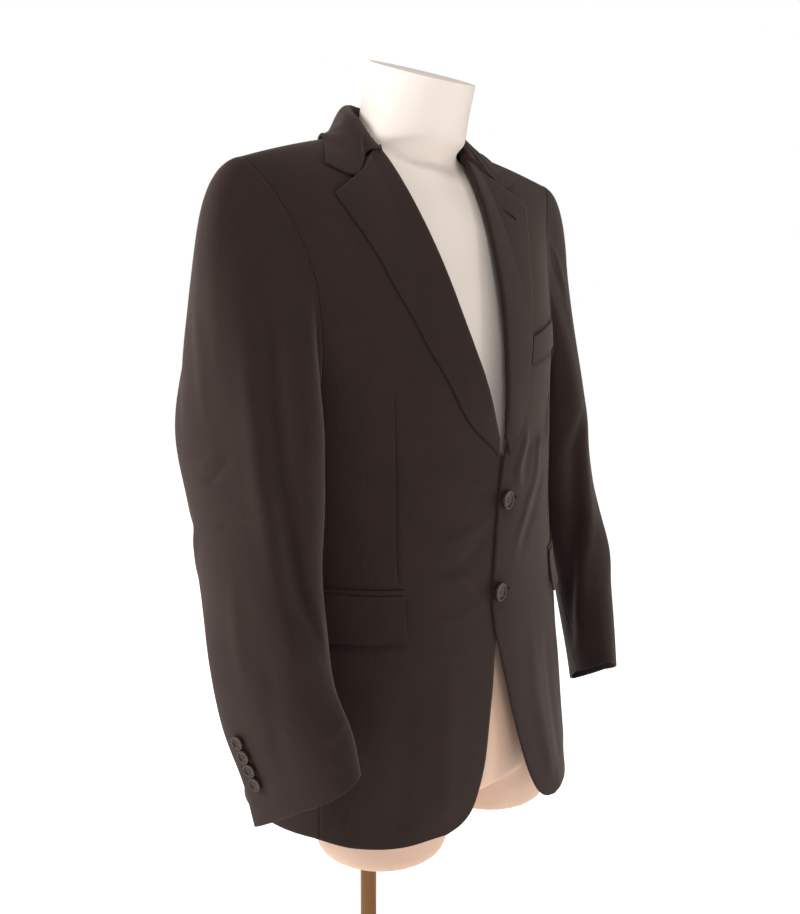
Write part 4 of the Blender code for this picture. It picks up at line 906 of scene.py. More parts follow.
def face_outwards(mesh):
    """Turn every face of a closed mesh outwards."""
    work = bmesh.new()
    work.from_mesh(mesh)
    bmesh.ops.recalc_face_normals(work, faces=work.faces)
    work.to_mesh(mesh)
    work.free()


def object_of(name, vertices, faces, material):
    """A smooth object from vertices and faces, its faces turned outwards."""
    mesh = bpy.data.meshes.new(name)
    mesh.from_pydata(vertices, [], faces)
    face_outwards(mesh)
    mesh.update()
    mesh.polygons.foreach_set("use_smooth", np.ones(len(mesh.polygons), bool))
    mesh.materials.append(material)
    thing = bpy.data.objects.new(name, mesh)
    link(thing)
    return thing


def cloth_sheet(name, grid, normals, thickness, material):
    """A thin cloth shell about a grid of middle points, with softly rounded edges."""
    rows, cols = grid.shape[:2]
    step = inward_steps(grid)
    layers = [grid + normals * thickness * half + step * thickness * RIM_IN
              for half in (0.50, -0.50)]
    rim = [(0, j) for j in range(cols)] + [(i, cols - 1) for i in range(1, rows)]
    rim += [(rows - 1, j) for j in range(cols - 2, -1, -1)]
    rim += [(i, 0) for i in range(rows - 2, 0, -1)]
    rim = np.array(rim)
    edge = grid[rim[:, 0], rim[:, 1]]
    away = normals[rim[:, 0], rim[:, 1]]
    rings = [edge + away * thickness * share for share in (RIM_FLAT, -RIM_FLAT)]
    count = rows * cols
    vertices = np.concatenate([layers[0].reshape(-1, 3), layers[1].reshape(-1, 3)] + rings)
    vertices[:, 2] += HEM_UP
    index = np.arange(count).reshape(rows, cols)
    quads = np.stack([index[:-1, :-1], index[:-1, 1:], index[1:, 1:], index[1:, :-1]], -1)
    quads = quads.reshape(-1, 4)
    flat_rim = rim[:, 0] * cols + rim[:, 1]
    ring_at = [2 * count + k * len(rim) + np.arange(len(rim)) for k in (0, 1)]
    chain = [flat_rim, ring_at[0], ring_at[1], flat_rim + count]
    sides = [np.stack([a, b, np.roll(b, -1), np.roll(a, -1)], -1)
             for a, b in zip(chain, chain[1:])]
    faces = np.concatenate([quads, quads[:, ::-1] + count] + sides)
    across = np.linalg.norm(np.diff(grid, axis=1), axis=2)
    upward = np.linalg.norm(np.diff(grid, axis=0), axis=2)
    across = np.concatenate([np.zeros((rows, 1)), np.cumsum(across, axis=1)], axis=1)
    across = across - across[:, cols // 2][:, None]
    upward = np.concatenate([np.zeros((1, cols)), np.cumsum(upward, axis=0)], axis=0)
    cut = np.stack([across, upward], -1)
    cut_all = np.concatenate([cut.reshape(-1, 2)] * 2 + [cut[rim[:, 0], rim[:, 1]]] * 2)
    sheet = object_of(name, vertices.tolist(), faces.tolist(), material)
    mesh = sheet.data
    pins = np.zeros(len(mesh.loops), np.int32)
    mesh.loops.foreach_get("vertex_index", pins)
    layer = mesh.uv_layers.new(name="cut")
    layer.data.foreach_set("uv", cut_all[pins].astype(np.float32).ravel())
    return sheet


def dress(piece, node):
    """Hang the piece on the root body and hide the CAD node that it stands in for."""
    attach(piece, "root")
    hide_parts(node)
    return piece


def wool_piece(node, grid, normals, thickness, creases, material):
    """A wool panel: its plain form, its creases, and its cut."""
    shaped = grid + normals * crease_height(grid, creases)[..., None]
    piece = cloth_sheet("wool_" + node, shaped, normals, thickness, material)
    dress(piece, node)
    return piece


def trim_edges(grid, edges):
    """Draw the named edges of a grid in by half a seam gap."""
    grid = grid.copy()
    across = grid.swapaxes(0, 1)
    for edge, lines, at, beside in (("bottom", grid, 0, 1), ("top", grid, -1, -2),
                                    ("inner", across, 0, 1), ("outer", across, -1, -2)):
        if edge in edges:
            lines[at] += unit(lines[beside] - lines[at]) * SEAM_GAP / 2
    return grid


def grid_normals(grid):
    """Outward-or-inward direction of a grid from its own neighbours."""
    along = np.gradient(grid, axis=1)
    upward = np.gradient(grid, axis=0)
    return unit(np.cross(along, upward))


# -------------------------------------------------------------- body panels
def hem_up(turn, side):
    """Height of the hem; the left front hangs a little lower than the right."""
    around = np.abs(turn)
    level = smooth_through(*zip(*HEM_LEVELS), around)
    return level - smooth_through(*zip(*LEFT_DROPS), around) if side > 0 else level


def hem_line(first_turn, last_turn, side, count):
    """Places along the hem between two turns, evenly spaced on the cloth."""
    turns = np.linspace(first_turn, last_turn, 80)
    ups = hem_up(turns, side)
    places = np.stack([turns * side, (ups - CHEST_UP) / BELOW_SCALE], axis=1)
    return places_by_length(places, np.linspace(0.0, 1.0, count))


def closing_shift(up):
    """Sideways shift of the closing line, towards the wearer's left."""
    return column(CLOSING_COLUMNS, CLOSING_LINE, "shift", up)


def front_edge_points(side):
    """out, up of the front edge from the hem corner to the end of the roll line."""
    rows = []
    for up, shift, out in CLOSING_LINE:
        share = float(np.clip((CORNER_DROP_UP - up) / CORNER_DROP_OVER, 0.0, 1.0))
        rows.append((out + shift * side, up - (CORNER_DROP * share if side > 0 else 0.0)))
    return rows + list(ROLL_LINE[2:])


def armhole_places(side):
    """Armhole from the shoulder tip down the front, under the arm, up the back."""
    tip = [(SHOULDER_TIP[0], SHOULDER_TIP[2])]
    front = rounded_line(list(ARM_FRONT) + tip)
    back = rounded_line(list(ARM_BACK) + tip)
    front = place(front[:, 0], front[:, 1], side)
    back = place(back[:, 0], back[:, 1], side, back=True)
    front[-1, 1] = 1.0
    back[-1, 1] = 1.0
    under = [(side * turn, rise) for turn, rise in UNDERARM]
    under = rounded_line([front[0]] + under + [back[0]])
    shares = np.linspace(0.0, 1.0, ARM_ROWS + 1)
    front = places_by_length(front[::-1], shares)
    under = places_by_length(under, np.linspace(0.0, 1.0, SIDE_COLS + 1))
    back = places_by_length(back, shares)
    return front, under, back


def seam_to_armpit(turn, side, top):
    """A side seam, from the hem up to the armhole."""
    start = np.array([side * turn, (float(hem_up(turn, side)) - CHEST_UP) / BELOW_SCALE])
    return places_by_length([start, top], np.linspace(0.0, 1.0, SIDE_ROWS + 1))


def shoulder_seam(side, back):
    """Shoulder seam from the neck outwards, as an edge of the front or the back."""
    outs = np.linspace(NECK_POINT[0], SHOULDER_TIP[0], 80)
    ups = shoulder_line(outs)[0]
    places = place(outs, ups - 1e-6, side, back)
    places[:, 1] = 1.0
    return places_by_length(places, np.linspace(0.0, 1.0, SHOULDER_COLS + 1))


def front_panel_places(side):
    """Front: closing edge and roll line, hem, side seam and armhole, shoulder seam."""
    arm_front = armhole_places(side)[0][::-1]
    outer = np.concatenate([seam_to_armpit(FRONT_SEAM_TURN, side, arm_front[0]),
                            arm_front[1:]])
    edge = rounded_line(front_edge_points(side))
    setback = np.clip((edge[:, 1] - SETBACK_FROM) / SETBACK_OVER, 0.0, 1.0) * ROLL_SETBACK
    inner = place(edge[:, 0] + setback, edge[:, 1], side)
    neck = place(NECK_POINT[0], 0.99 * shoulder_line(NECK_POINT[0])[0], side)
    neck[1] = 1.0
    inner = np.concatenate([inner, [neck]])
    rows = SIDE_ROWS + ARM_ROWS
    inner = places_by_length(inner, (np.arange(rows + 1) / rows) ** 1.2)
    bottom = hem_line(abs(inner[0, 0]), FRONT_SEAM_TURN, side, SHOULDER_COLS + 1)
    bottom[:, 1] += (inner[0, 1] - bottom[0, 1]) * np.linspace(1.0, 0.0, len(bottom)) ** 3
    top = shoulder_seam(side, back=False)
    return patch(inner, outer, bottom, top)


def side_panel_places(side):
    """Side panel, between its two seams and under the arm."""
    front, under, back = armhole_places(side)
    left = seam_to_armpit(FRONT_SEAM_TURN, side, front[-1])
    right = seam_to_armpit(BACK_SEAM_TURN, side, back[0])
    bottom = hem_line(FRONT_SEAM_TURN, BACK_SEAM_TURN, side, SIDE_COLS + 1)
    return patch(left, right, bottom, under)


def back_panel_places(side):
    """Back: centre seam, hem, side seam and armhole, neck and shoulder seam."""
    back = armhole_places(side)[2]
    outer = np.concatenate([seam_to_armpit(BACK_SEAM_TURN, side, back[0]), back[1:]])
    rows = SIDE_ROWS + ARM_ROWS
    nape = place(0.0, BACK_NECK[0][1], side, back=True)
    middle = np.array([[side * math.pi, (0.0 - CHEST_UP) / BELOW_SCALE],
                       [side * math.pi, nape[1]]])
    inner = places_by_length(middle, np.linspace(0.0, 1.0, rows + 1))
    bottom = hem_line(BACK_SEAM_TURN, math.pi, side, NECK_COLS + SHOULDER_COLS + 1)[::-1]
    neck = place([row[0] for row in BACK_NECK], [row[1] for row in BACK_NECK], side, True)
    seam = shoulder_seam(side, back=True)
    neck = places_by_length(np.concatenate([neck, seam[:1]]),
                            np.linspace(0.0, 1.0, NECK_COLS + 1))
    top = np.concatenate([neck, seam[1:]])
    return patch(inner, outer, bottom, top)


def lap_lift(places, side):
    """Left front lies outside the right one where the two lap."""
    points = point_at(places)
    beyond = np.abs(points[..., 0] - LAP_MIDDLE) - LAP_HALF
    near = np.clip(1.0 - beyond / LAP_FADE, 0.0, 1.0)
    low = np.clip((LAP_TOP - points[..., 2]) / LAP_TOP_FADE, 0.0, 1.0)
    return side * LAP_LIFT * near * low


def through_dart(places):
    """Move the columns of a front so that three of them run down the dart."""
    points = point_at(places)
    outs, ups = zip(*DART[::-1])
    cols = places.shape[1]
    shares = np.linspace(0.0, 1.0, cols)
    middle = int(cols * 0.45)
    moved = places.copy()
    for i, row in enumerate(points):
        gap = np.abs(row[:, 0]) - np.interp(row[:, 2], ups, outs)
        order = np.argsort(gap)
        at = float(np.interp(0.0, gap[order], shares[order]))
        width = lengths_along(row)[-1]
        half = DART_HALF / width
        new = np.concatenate([np.linspace(0.0, at - half, middle),
                              [at], np.linspace(at + half, 1.0, cols - middle - 1)])
        for k in (0, 1):
            moved[i, :, k] = np.interp(new, shares, places[i, :, k])
    return moved, middle


def dart_groove(points, middle):
    """Depth of the sewn dart down its three columns."""
    depth = np.zeros(points.shape[:2])
    up = points[:, middle, 2]
    along = ease((up - DART[-1][1]) / 0.004) * ease((DART[0][1] - up) / 0.020)
    depth[:, middle] = -DART_DEPTH * along
    for away in range(1, 9):
        soft = DART_PUCKER * math.exp(-(away / 3.5) ** 2)
        depth[:, middle - away] += soft * along
        depth[:, middle + away] += soft * along
    return depth


def make_panels(wool, creases):
    """Fronts, side panels and backs."""
    for side, word in SIDES:
        places, middle = through_dart(front_panel_places(side))
        normals = normal_at(places)
        grid = trim_edges(lift_from_body(places, lap_lift(places, side)), ("outer", "top"))
        grid = grid + normals * dart_groove(grid, middle)[..., None]
        wool_piece("front_" + word, grid, normals, CLOTH, creases, wool)
        for kind, places in (("side_", side_panel_places(side)),
                             ("back_", back_panel_places(side))):
            grid = trim_edges(point_at(places), ("inner", "outer", "top"))
            wool_piece(kind + word, grid, normal_at(places), CLOTH, creases, wool)


# -------------------------------------------------------- collar and lapels
def tuck_top(grid, side):
    """Carry the top of a lapel on under the collar, furthest beside the fold."""
    top = grid[-1]
    across = np.linspace(0.0, 1.0, len(top))
    covered = ease((0.60 - across) / 0.14) * (1.0 + 0.35 * ease((0.45 - across) / 0.20))
    onward = unit(top - grid[-6]) + grid_normals(grid)[-1] * side * TUCK_RISE
    tucked = [top + onward * covered[:, None] * step for step in TUCK_STEPS]
    return np.concatenate([grid, tucked])


def lapel_grid(side, rows=150, cols=56):
    """Middle points of a lapel, from behind its fold to its outer edge."""
    shares = np.linspace(0.0, 1.0, rows + 1) ** 0.9
    roll = resample(rounded_line(ROLL_LINE), shares)
    edge = resample(rounded_line(LAPEL_EDGE), shares)
    across = np.linspace(0.0, 1.0, 12)
    grid = []
    for near, far, along in zip(roll, edge, shares):
        reach = np.linalg.norm(far - near)
        fold = min(ROLL_SETBACK - ROLL_INSIDE, 0.30 * reach)
        rolled = blend(LAPEL_FLAT, ROLL_LIFT, ease(along / LAPEL_RUN_OUT))
        edge_lift = blend(LAPEL_FLAT, EDGE_LIFT, ease(along / LAPEL_RUN_OUT))
        steps = [(fold, 0.0), (0.25 * fold, 0.0006), (0.0, 0.5 * rolled)]
        steps += [(inward * fold, share * rolled) for inward, share in ROLL_PROFILE]
        ends = [(2.0 * fold + (reach - 2.0 * fold) * share,
                 blend(rolled, edge_lift, share)) for share in across]
        line = rounded_line(np.array(steps + ends), 10)
        rolled_share = 3.2 * fold / lengths_along(line)[-1]
        close = np.linspace(0.0, rolled_share, cols // 3, endpoint=False)
        far_part = np.linspace(rolled_share, 1.0, cols - cols // 3 + 1)
        line = resample(line, np.concatenate([close, far_part]))
        flat = near + (far - near) * (line[:, :1] / reach)
        out = flat[:, 0] + closing_shift(flat[:, 1]) * side
        spots = place(out, flat[:, 1], side)
        lift = line[:, 1] + lap_lift(spots, side)
        grid.append(lift_from_body(spots, lift))
    grid = tuck_top(trim_edges(np.array(grid), ("top",)), side)
    return grid, grid_normals(grid) * side


def make_lapels(wool):
    """Both lapels, from behind the fold to the outer edge."""
    for side, word in SIDES:
        grid, normals = lapel_grid(side)
        wool_piece("lapel_" + word, grid, normals, LAPEL_CLOTH, (), wool)


def settle_leaf_ends(grid, fade=16):
    """Lay the front ends of the collar's leaf down beside the tops of the lapels."""
    cols = np.arange(grid.shape[1])
    past_fold = ease((cols - LEAF_FOLD_COLS) / LEAF_EASE_COLS)
    lift = blend(ROLL_LIFT, EDGE_LIFT + 0.0003, cols / cols[-1])
    for k in range(fade):
        for row, side in ((grid[k], -1), (grid[-1 - k], 1)):
            laid = lift_from_body(place(np.abs(row[:, 0]), row[:, 2], side), lift)
            share = (past_fold * ease(1.0 - k / fade))[:, None]
            row[:] = blend(row, laid, share)
    return grid


def make_collar(wool):
    """Collar in one piece: up its stand, over its fold and down its fall."""
    stations = np.asarray(COLLAR_STATIONS, float)
    half = [rounded_line(stations[:, k], 24) for k in range(4)]
    rows = 90
    shares = np.linspace(0.0, 1.0, rows + 1)
    lines = [resample(points, shares) for points in half]
    grid = []
    for i in range(-rows, rows + 1):
        mirrored = (math.copysign(1, i), 1, 1)
        seam, fold, fall, edge = [line[abs(i)] * mirrored for line in lines]
        outward = unit(np.array([fold[0], (fold[1] - MIDDLE_Y), 0.0]))
        stand = seam + (fold - seam) * 0.55
        profile = rounded_line([seam, stand, fold - outward * 0.0005, fold + outward * 0.004,
                                fall, edge], 16)
        grid.append(resample(profile, np.linspace(0.0, 1.0, 49)))
    grid = trim_edges(settle_leaf_ends(np.array(grid)), ("bottom", "top"))
    wool_piece("collar", grid, grid_normals(grid), LAPEL_CLOTH, (), wool)


# ----------------------------------------------------------------- sleeves
def sleeve_ring(row, angles, side):
    """One ellipse of the sleeve, tipped forward and turned in at the cuff."""
    up, out, y, across, deep, slope, toe_in = row
    turn = math.radians(toe_in)
    fore = unit(np.array([-math.sin(turn), -math.cos(turn), -slope]))
    sideways = np.array([math.cos(turn), -math.sin(turn), 0.0])
    wide = across * (1.0 + CUFF_FULL * math.sin(turn) * np.sin(angles))
    points = (np.array([out, y, up]) + (np.cos(angles) * wide)[:, None] * sideways
              + np.sin(angles)[:, None] * deep * fore)
    points[:, 2] -= (CUFF_DROOP * math.sin(turn) * np.clip(np.sin(angles), 0.0, 1.0)
                     * np.abs(np.cos(angles)))
    ups = points[:, 2]
    is_front = points[:, 1] < MIDDLE_Y
    depth = np.where(is_front, body("front", ups), body("back", ups))
    power = np.where(is_front, body("power", ups), body("back_power", ups))
    share = np.clip(np.abs(points[:, 1] - MIDDLE_Y) / depth, 0.0, 1.0)
    clear = body("half", ups) * (1.0 - share ** power) ** (1.0 / power) + SLEEVE_CLEAR
    points[:, 0] = np.maximum(points[:, 0], clear)
    return points * (side, 1.0, 1.0)


def sleeve_outward(grid, side):
    """Outward directions of a sleeve, whose last column meets its first."""
    ring = np.concatenate([grid[:, -1:], grid, grid[:, :1]], axis=1)
    outer = unit(np.cross(np.gradient(ring, axis=1), np.gradient(ring, axis=0)))
    return outer[:, 1:-1] * side


def fold_heights(grid, side):
    """Height of the largest folds over a sleeve: a ridge beside a trough."""
    rows, cols = grid.shape[:2]
    down = np.linspace(0.0, 1.0, rows)[:, None]
    around = np.arange(cols)[None, :] / cols
    total = np.zeros((rows, cols))
    for (fold_side, height, wide), line in SLEEVE_FOLDS:
        if fold_side != side:
            continue
        downs, arounds = zip(*line)
        away = around - smooth_through(downs, arounds, down)
        away = (away + 0.5) % 1.0 - 0.5
        ends = np.clip(np.minimum(down - downs[0], downs[-1] - down) / FOLD_END, 0.0, 1.0)
        total += height * np.exp(-(away / wide) ** 2) * np.sin(ends * math.pi / 2) ** 2
    return total


def sleeve_grid(side):
    """Middle surface of a whole sleeve: rows down the arm, columns around."""
    front, under, back = armhole_places(side)
    loop = np.concatenate([front, under[1:], back[1:-1]])
    points = point_at(loop)
    normals = normal_at(loop)
    after = np.roll(points, -1, axis=0)
    before = np.roll(points, 1, axis=0)
    outward = -side * unit(np.cross(after - before, normals))
    run = lengths_along(np.concatenate([points, points[:1]]))
    bottom = run[ARM_ROWS + SIDE_COLS // 2]
    angles = np.where(run[:-1] <= bottom, run[:-1] / bottom * math.pi,
                      math.pi + (run[:-1] - bottom) / (run[-1] - bottom) * math.pi)
    low = np.clip((UNDERARM_UP - points[:, 2]) / 0.07, 0.0, 1.0)[:, None]
    start = unit(outward * (1.0 - low) + normals * low)
    origin = points + outward * SEAM_GAP / 2 * (1.0 - low)
    origin = origin + normals * (0.0002 + UNDERARM_GAP * low)
    high = np.clip((points[:, 2:] - UNDERARM_UP) / 0.12, 0.3, 1.0)
    head = SLEEVE_HEAD * (1.0 - low) * high + UNDERARM_HEAD * low
    rings = [sleeve_ring(row, angles, side) for row in SLEEVE_RINGS]
    shares = np.linspace(0.0, 1.0, SLEEVE_ROWS + 1)
    grid = np.zeros((len(shares), len(points), 3))
    for j in range(len(points)):
        knots = np.array([origin[j]] + [ring[j] for ring in rings])
        run_down = lengths_along(knots)
        tangents = np.gradient(knots, run_down, axis=0)
        fine = []
        for i in range(len(knots) - 1):
            t = np.linspace(0.0, 1.0, 40, endpoint=False)[:, None]
            span = run_down[i + 1] - run_down[i]
            lead = start[j] * head[j] if i == 0 else tangents[i] * span
            fine.append(cubic(t, knots[i], lead, knots[i + 1], tangents[i + 1] * span))
        fine.append(knots[-1:])
        grid[:, j] = resample(np.concatenate(fine), shares)
    along = shares[:, None, None] / HEAD_PUFF_AT
    fullness = np.clip(0.15 + 0.85 * np.cos(angles + HEAD_PUFF_TURN), 0.0, 1.0)
    puff = HEAD_PUFF * fullness[:, None]
    away = unit(np.stack([side * np.cos(angles), -np.sin(angles), 0.25 + 0.0 * angles], -1))
    grid = grid + along * np.exp(1.0 - along) * puff * away
    grid = grid + sleeve_outward(grid, side) * fold_heights(grid, side)[..., None]
    outer = sleeve_outward(grid, side)
    upper = np.clip((points[:, 2:] - 0.557) / 0.06, 0.0, 1.0)
    outer[0] = unit(normals * upper + outer[0] * (1.0 - upper))
    return grid, outer


def make_sleeves(wool):
    """Top sleeves and under sleeves, cut from one whole sleeve a side."""
    around = 2 * ARM_ROWS + SIDE_COLS
    for side, word in SIDES:
        grid, normals = sleeve_grid(side)
        creases = sleeve_creases(grid, side)
        top = [k % around for k in range(HIND_SEAM_COL, around + FORE_SEAM_COL + 1)]
        under = list(range(FORE_SEAM_COL, HIND_SEAM_COL + 1))
        for kind, picks in (("top_sleeve_", top), ("under_sleeve_", under)):
            part = trim_edges(grid[:, picks], ("inner", "outer"))
            wool_piece(kind + word, part, normals[:, picks], CLOTH, creases, wool)


# ------------------------------------------------------------------- pockets
def rounded_corner_shares(v, width, height, radius):
    """How far each row draws in at both ends, to round the lower corners."""
    above = v * height
    inset = np.where(above < radius,
                     radius - np.sqrt(np.maximum(radius**2 - (radius - above)**2, 0.0)), 0.0)
    return inset / width


def between_corners(corners, u, v, side):
    """Places on the front between four (out, up) corners, given in ring order."""
    (a, b, c, d) = [np.array(corner) for corner in corners]
    flat = (1 - v) * ((1 - u) * a + u * b) + v * ((1 - u) * d + u * c)
    return place(flat[..., 0], flat[..., 1], side)


def trim_on_body(node, corners, side, lift, cols, rows, wool, creases, radius=0.0, curl=0.0):
    """A small flat piece on the front, its lower corners rounded by `radius`."""
    width, height = [math.dist(corners[0], corners[k]) for k in (1, 3)]
    v = np.linspace(0.0, 1.0, rows + 1) ** 1.3
    inset = rounded_corner_shares(v, width, height, radius)[:, None, None]
    u = inset + np.linspace(0.0, 1.0, cols + 1)[None, :, None] * (1.0 - 2.0 * inset)
    spots = between_corners(corners, u, v[:, None, None], side)
    lifts = lift + curl * (1.0 - v[:, None]) ** 2
    grid = lift_from_body(spots, lifts + lap_lift(spots, side))
    wool_piece(node, grid, normal_at(spots), TRIM_CLOTH, creases, wool)


def folded_jet(node, corners, side, lift, wool, cols=60):
    """A jet: a strip folded double, its fold along the pocket mouth, sewn on above."""
    height = math.dist(corners[0], corners[3])
    apart = (TRIM_CLOTH - JET_LAYER) / 2
    bend = np.linspace(-math.pi / 2, math.pi / 2, 11)
    flat_part = np.linspace(height, apart, 9)[:-1]
    under = [(along, -apart) for along in flat_part]
    round_fold = [(apart * (1.0 - math.cos(t)), apart * math.sin(t)) for t in bend]
    over = [(along, apart) for along in flat_part[::-1]]
    profile = np.array(under + round_fold + over)
    v = (profile[:, 0] / height)[:, None, None]
    u = np.linspace(0.0, 1.0, cols + 1)[None, :, None]
    spots = between_corners(corners, u, v, side)
    grid = lift_from_body(spots, lift + profile[:, 1][:, None] + lap_lift(spots, side))
    wool_piece(node, grid, grid_normals(grid) * side, JET_LAYER, (), wool)


def make_pockets(wool, creases):
    """Flap and jet of both side pockets, and the welt of the chest pocket."""
    lowest = CLOTH / 2 + SEAM_GAP + TRIM_CLOTH / 2
    for side, word in SIDES:
        trim_on_body("flap_" + word, FLAP_CORNERS, side, lowest + FLAP_LIFT, 60, 44, wool,
                     creases, radius=FLAP_CORNER_RADIUS, curl=FLAP_CURL)
        folded_jet("jet_" + word, JET_CORNERS, side, lowest + JET_LIFT, wool)
    trim_on_body("welt_chest", WELT_CORNERS, 1, lowest + WELT_LIFT, 70, 24, wool, creases)


# ------------------------------------------------- buttons, bpy.ops modelling
def deselect_all():
    if bpy.context.object and bpy.context.object.mode != "OBJECT":
        bpy.ops.object.mode_set(mode="OBJECT")
    bpy.ops.object.select_all(action="DESELECT")


def pick(thing):
    """Select this object alone and make it the active one."""
    deselect_all()
    thing.select_set(True)
    bpy.context.view_layer.objects.active = thing


def pick_faces(thing, wanted):
    """In edit mode, select just the faces that `wanted` accepts."""
    bpy.ops.mesh.select_mode(type="FACE")
    bpy.ops.mesh.select_all(action="DESELECT")
    work = bmesh.from_edit_mesh(thing.data)
    for face in work.faces:
        face.select_set(bool(wanted(face)))
    bmesh.update_edit_mesh(thing.data)


def apply_all(thing):
    """Make the modifiers of an object part of its mesh."""
    bpy.context.view_layer.objects.active = thing
    for modifier in list(thing.modifiers):
        bpy.ops.object.modifier_apply(modifier=modifier.name)


def round_edges(thing, width, segments, sharper_than=30.0):
    """Bevel the edges that turn by more than so many degrees."""
    bevel = thing.modifiers.new("edge", "BEVEL")
    bevel.width = width
    bevel.segments = segments
    bevel.limit_method = "ANGLE"
    bevel.angle_limit = math.radians(sharper_than)
    apply_all(thing)


def combine(thing, other, operation):
    """Join the other object to this one, or cut it out, and remove it."""
    both = thing.modifiers.new("combine", "BOOLEAN")
    both.operation = operation
    both.solver = "EXACT"
    both.object = other
    apply_all(thing)
    bpy.data.objects.remove(other)


def finish_surface(thing, material, sharper_than):
    """Smooth shading between crisp edges, and the one material."""
    pick(thing)
    bpy.ops.object.shade_smooth_by_angle(angle=math.radians(sharper_than))
    thing.data.materials.clear()
    thing.data.materials.append(material)


def model_button(name, radius, horn):
    """A turned button: rolled rim, dished middle, four holes through it."""
    thick = BUTTON_THICK
    deselect_all()
    bpy.ops.mesh.primitive_cylinder_add(vertices=56, radius=radius, depth=thick,
                                        location=(0.0, 0.0, thick / 2))
    button = bpy.context.object
    button.name = name
    bpy.ops.object.transform_apply(location=True)
    bpy.ops.object.mode_set(mode="EDIT")
    pick_faces(button, lambda face: face.normal.z > 0.9)
    bpy.ops.mesh.inset(thickness=0.20 * radius)     # the rim
    bpy.ops.mesh.inset(thickness=0.10 * radius)     # its slope down into the dish
    bpy.ops.transform.translate(value=(0.0, 0.0, -0.34 * thick))
    bpy.ops.mesh.inset(thickness=0.30 * radius)     # the dish, a little hollow
    bpy.ops.transform.translate(value=(0.0, 0.0, -0.06 * thick))
    pick_faces(button, lambda face: face.normal.z < -0.9)
    bpy.ops.mesh.inset(thickness=0.38 * radius)     # flat back
    bpy.ops.mesh.select_all(action="DESELECT")
    bpy.ops.object.mode_set(mode="OBJECT")
    round_edges(button, 0.16 * thick, 3, sharper_than=28)
    for k in range(4):
        angle = math.pi / 4 + k * math.pi / 2
        deselect_all()
        bpy.ops.mesh.primitive_cylinder_add(
            vertices=16, radius=0.085 * radius, depth=4 * thick,
            location=(HOLE_OUT * radius * math.cos(angle),
                      HOLE_OUT * radius * math.sin(angle), 0.0))
        combine(button, bpy.context.object, "DIFFERENCE")
    finish_surface(button, horn, 40)
    return button


def thread_tube(points, radius, ripple, pitch, closed=False, sides=8):
    """Vertices and faces of a thread along points, rippled by its twist or stitches."""
    points = np.asarray(points, float)
    count = len(points)
    tangents = np.roll(points, -1, 0) - np.roll(points, 1, 0)
    if not closed:
        tangents[0] = points[1] - points[0]
        tangents[-1] = points[-1] - points[-2]
    tangents = unit(tangents)
    helper = (0.0, 0.0, 1.0) if abs(tangents[0][2]) < 0.8 else (1.0, 0.0, 0.0)
    run = lengths_along(points)
    vertices = []
    for k in range(count):
        first = unit(np.cross(tangents[k], helper))
        second = np.cross(tangents[k], first)
        size = radius * (1.0 + ripple * math.sin(2 * math.pi * run[k] / pitch))
        if not closed and k in (0, count - 1):
            size *= 0.5
        for s in range(sides):
            angle = 2 * math.pi * s / sides
            out = first * math.cos(angle) + second * math.sin(angle)
            vertices.append(points[k] + out * size)
    faces = []
    for k in range(count if closed else count - 1):
        after = (k + 1) % count
        for s in range(sides):
            t = (s + 1) % sides
            faces.append((k * sides + s, k * sides + t, after * sides + t, after * sides + s))
    if not closed:
        faces.append(tuple(range(sides)))
        faces.append(tuple((count - 1) * sides + s for s in range(sides)))
    return vertices, faces


def mesh_piece(name, parts, material):
    """One object from several closed vertex and face lists."""
    vertices, faces = [], []
    for some, rings in parts:
        start = len(vertices)
        vertices += [tuple(float(c) for c in v) for v in some]
        faces += [tuple(int(i) + start for i in face) for face in rings]
    return object_of(name, vertices, faces, material)


def button_threads(radius):
    """Two parallel stitches of doubled thread across the four holes."""
    reach = HOLE_OUT * radius * math.cos(math.pi / 4)
    dish = 0.60 * BUTTON_THICK
    shares = np.linspace(-1.0, 1.0, 13)
    dip = 0.0044 * np.clip(np.abs(shares) - 0.75, 0, 1)
    paths = [np.stack([shares * reach, np.full(13, y), dish + 0.00028 - dip], -1)
             for y in (-reach, reach)]
    return [thread_tube(path, THREAD_RADIUS, 0.12, 0.0007) for path in paths]


def set_button(pattern, threads, name, node, foot, axis, turn, thread_look):
    """Copy the button to its place, with its own mesh and its threads."""
    axis = unit(np.asarray(axis, float))
    side = unit(np.cross((0.0, 0.0, -1.0), axis))
    up = np.cross(axis, side)
    turned = Matrix(np.stack([side, up, axis], axis=1)).to_4x4()
    onto = Matrix.Translation((foot[0], foot[1], foot[2] + HEM_UP)) @ turned
    piece = pattern.copy()
    piece.data = pattern.data.copy()
    piece.name = name
    link(piece)
    sewn = mesh_piece(name + "_thread", threads, thread_look)
    for thing in (piece, sewn):
        thing.data.transform(onto @ Matrix.Rotation(turn, 4, "Z"))
        thing.data.update()
    pick(piece)
    sewn.select_set(True)
    bpy.ops.object.join()
    dress(piece, node)


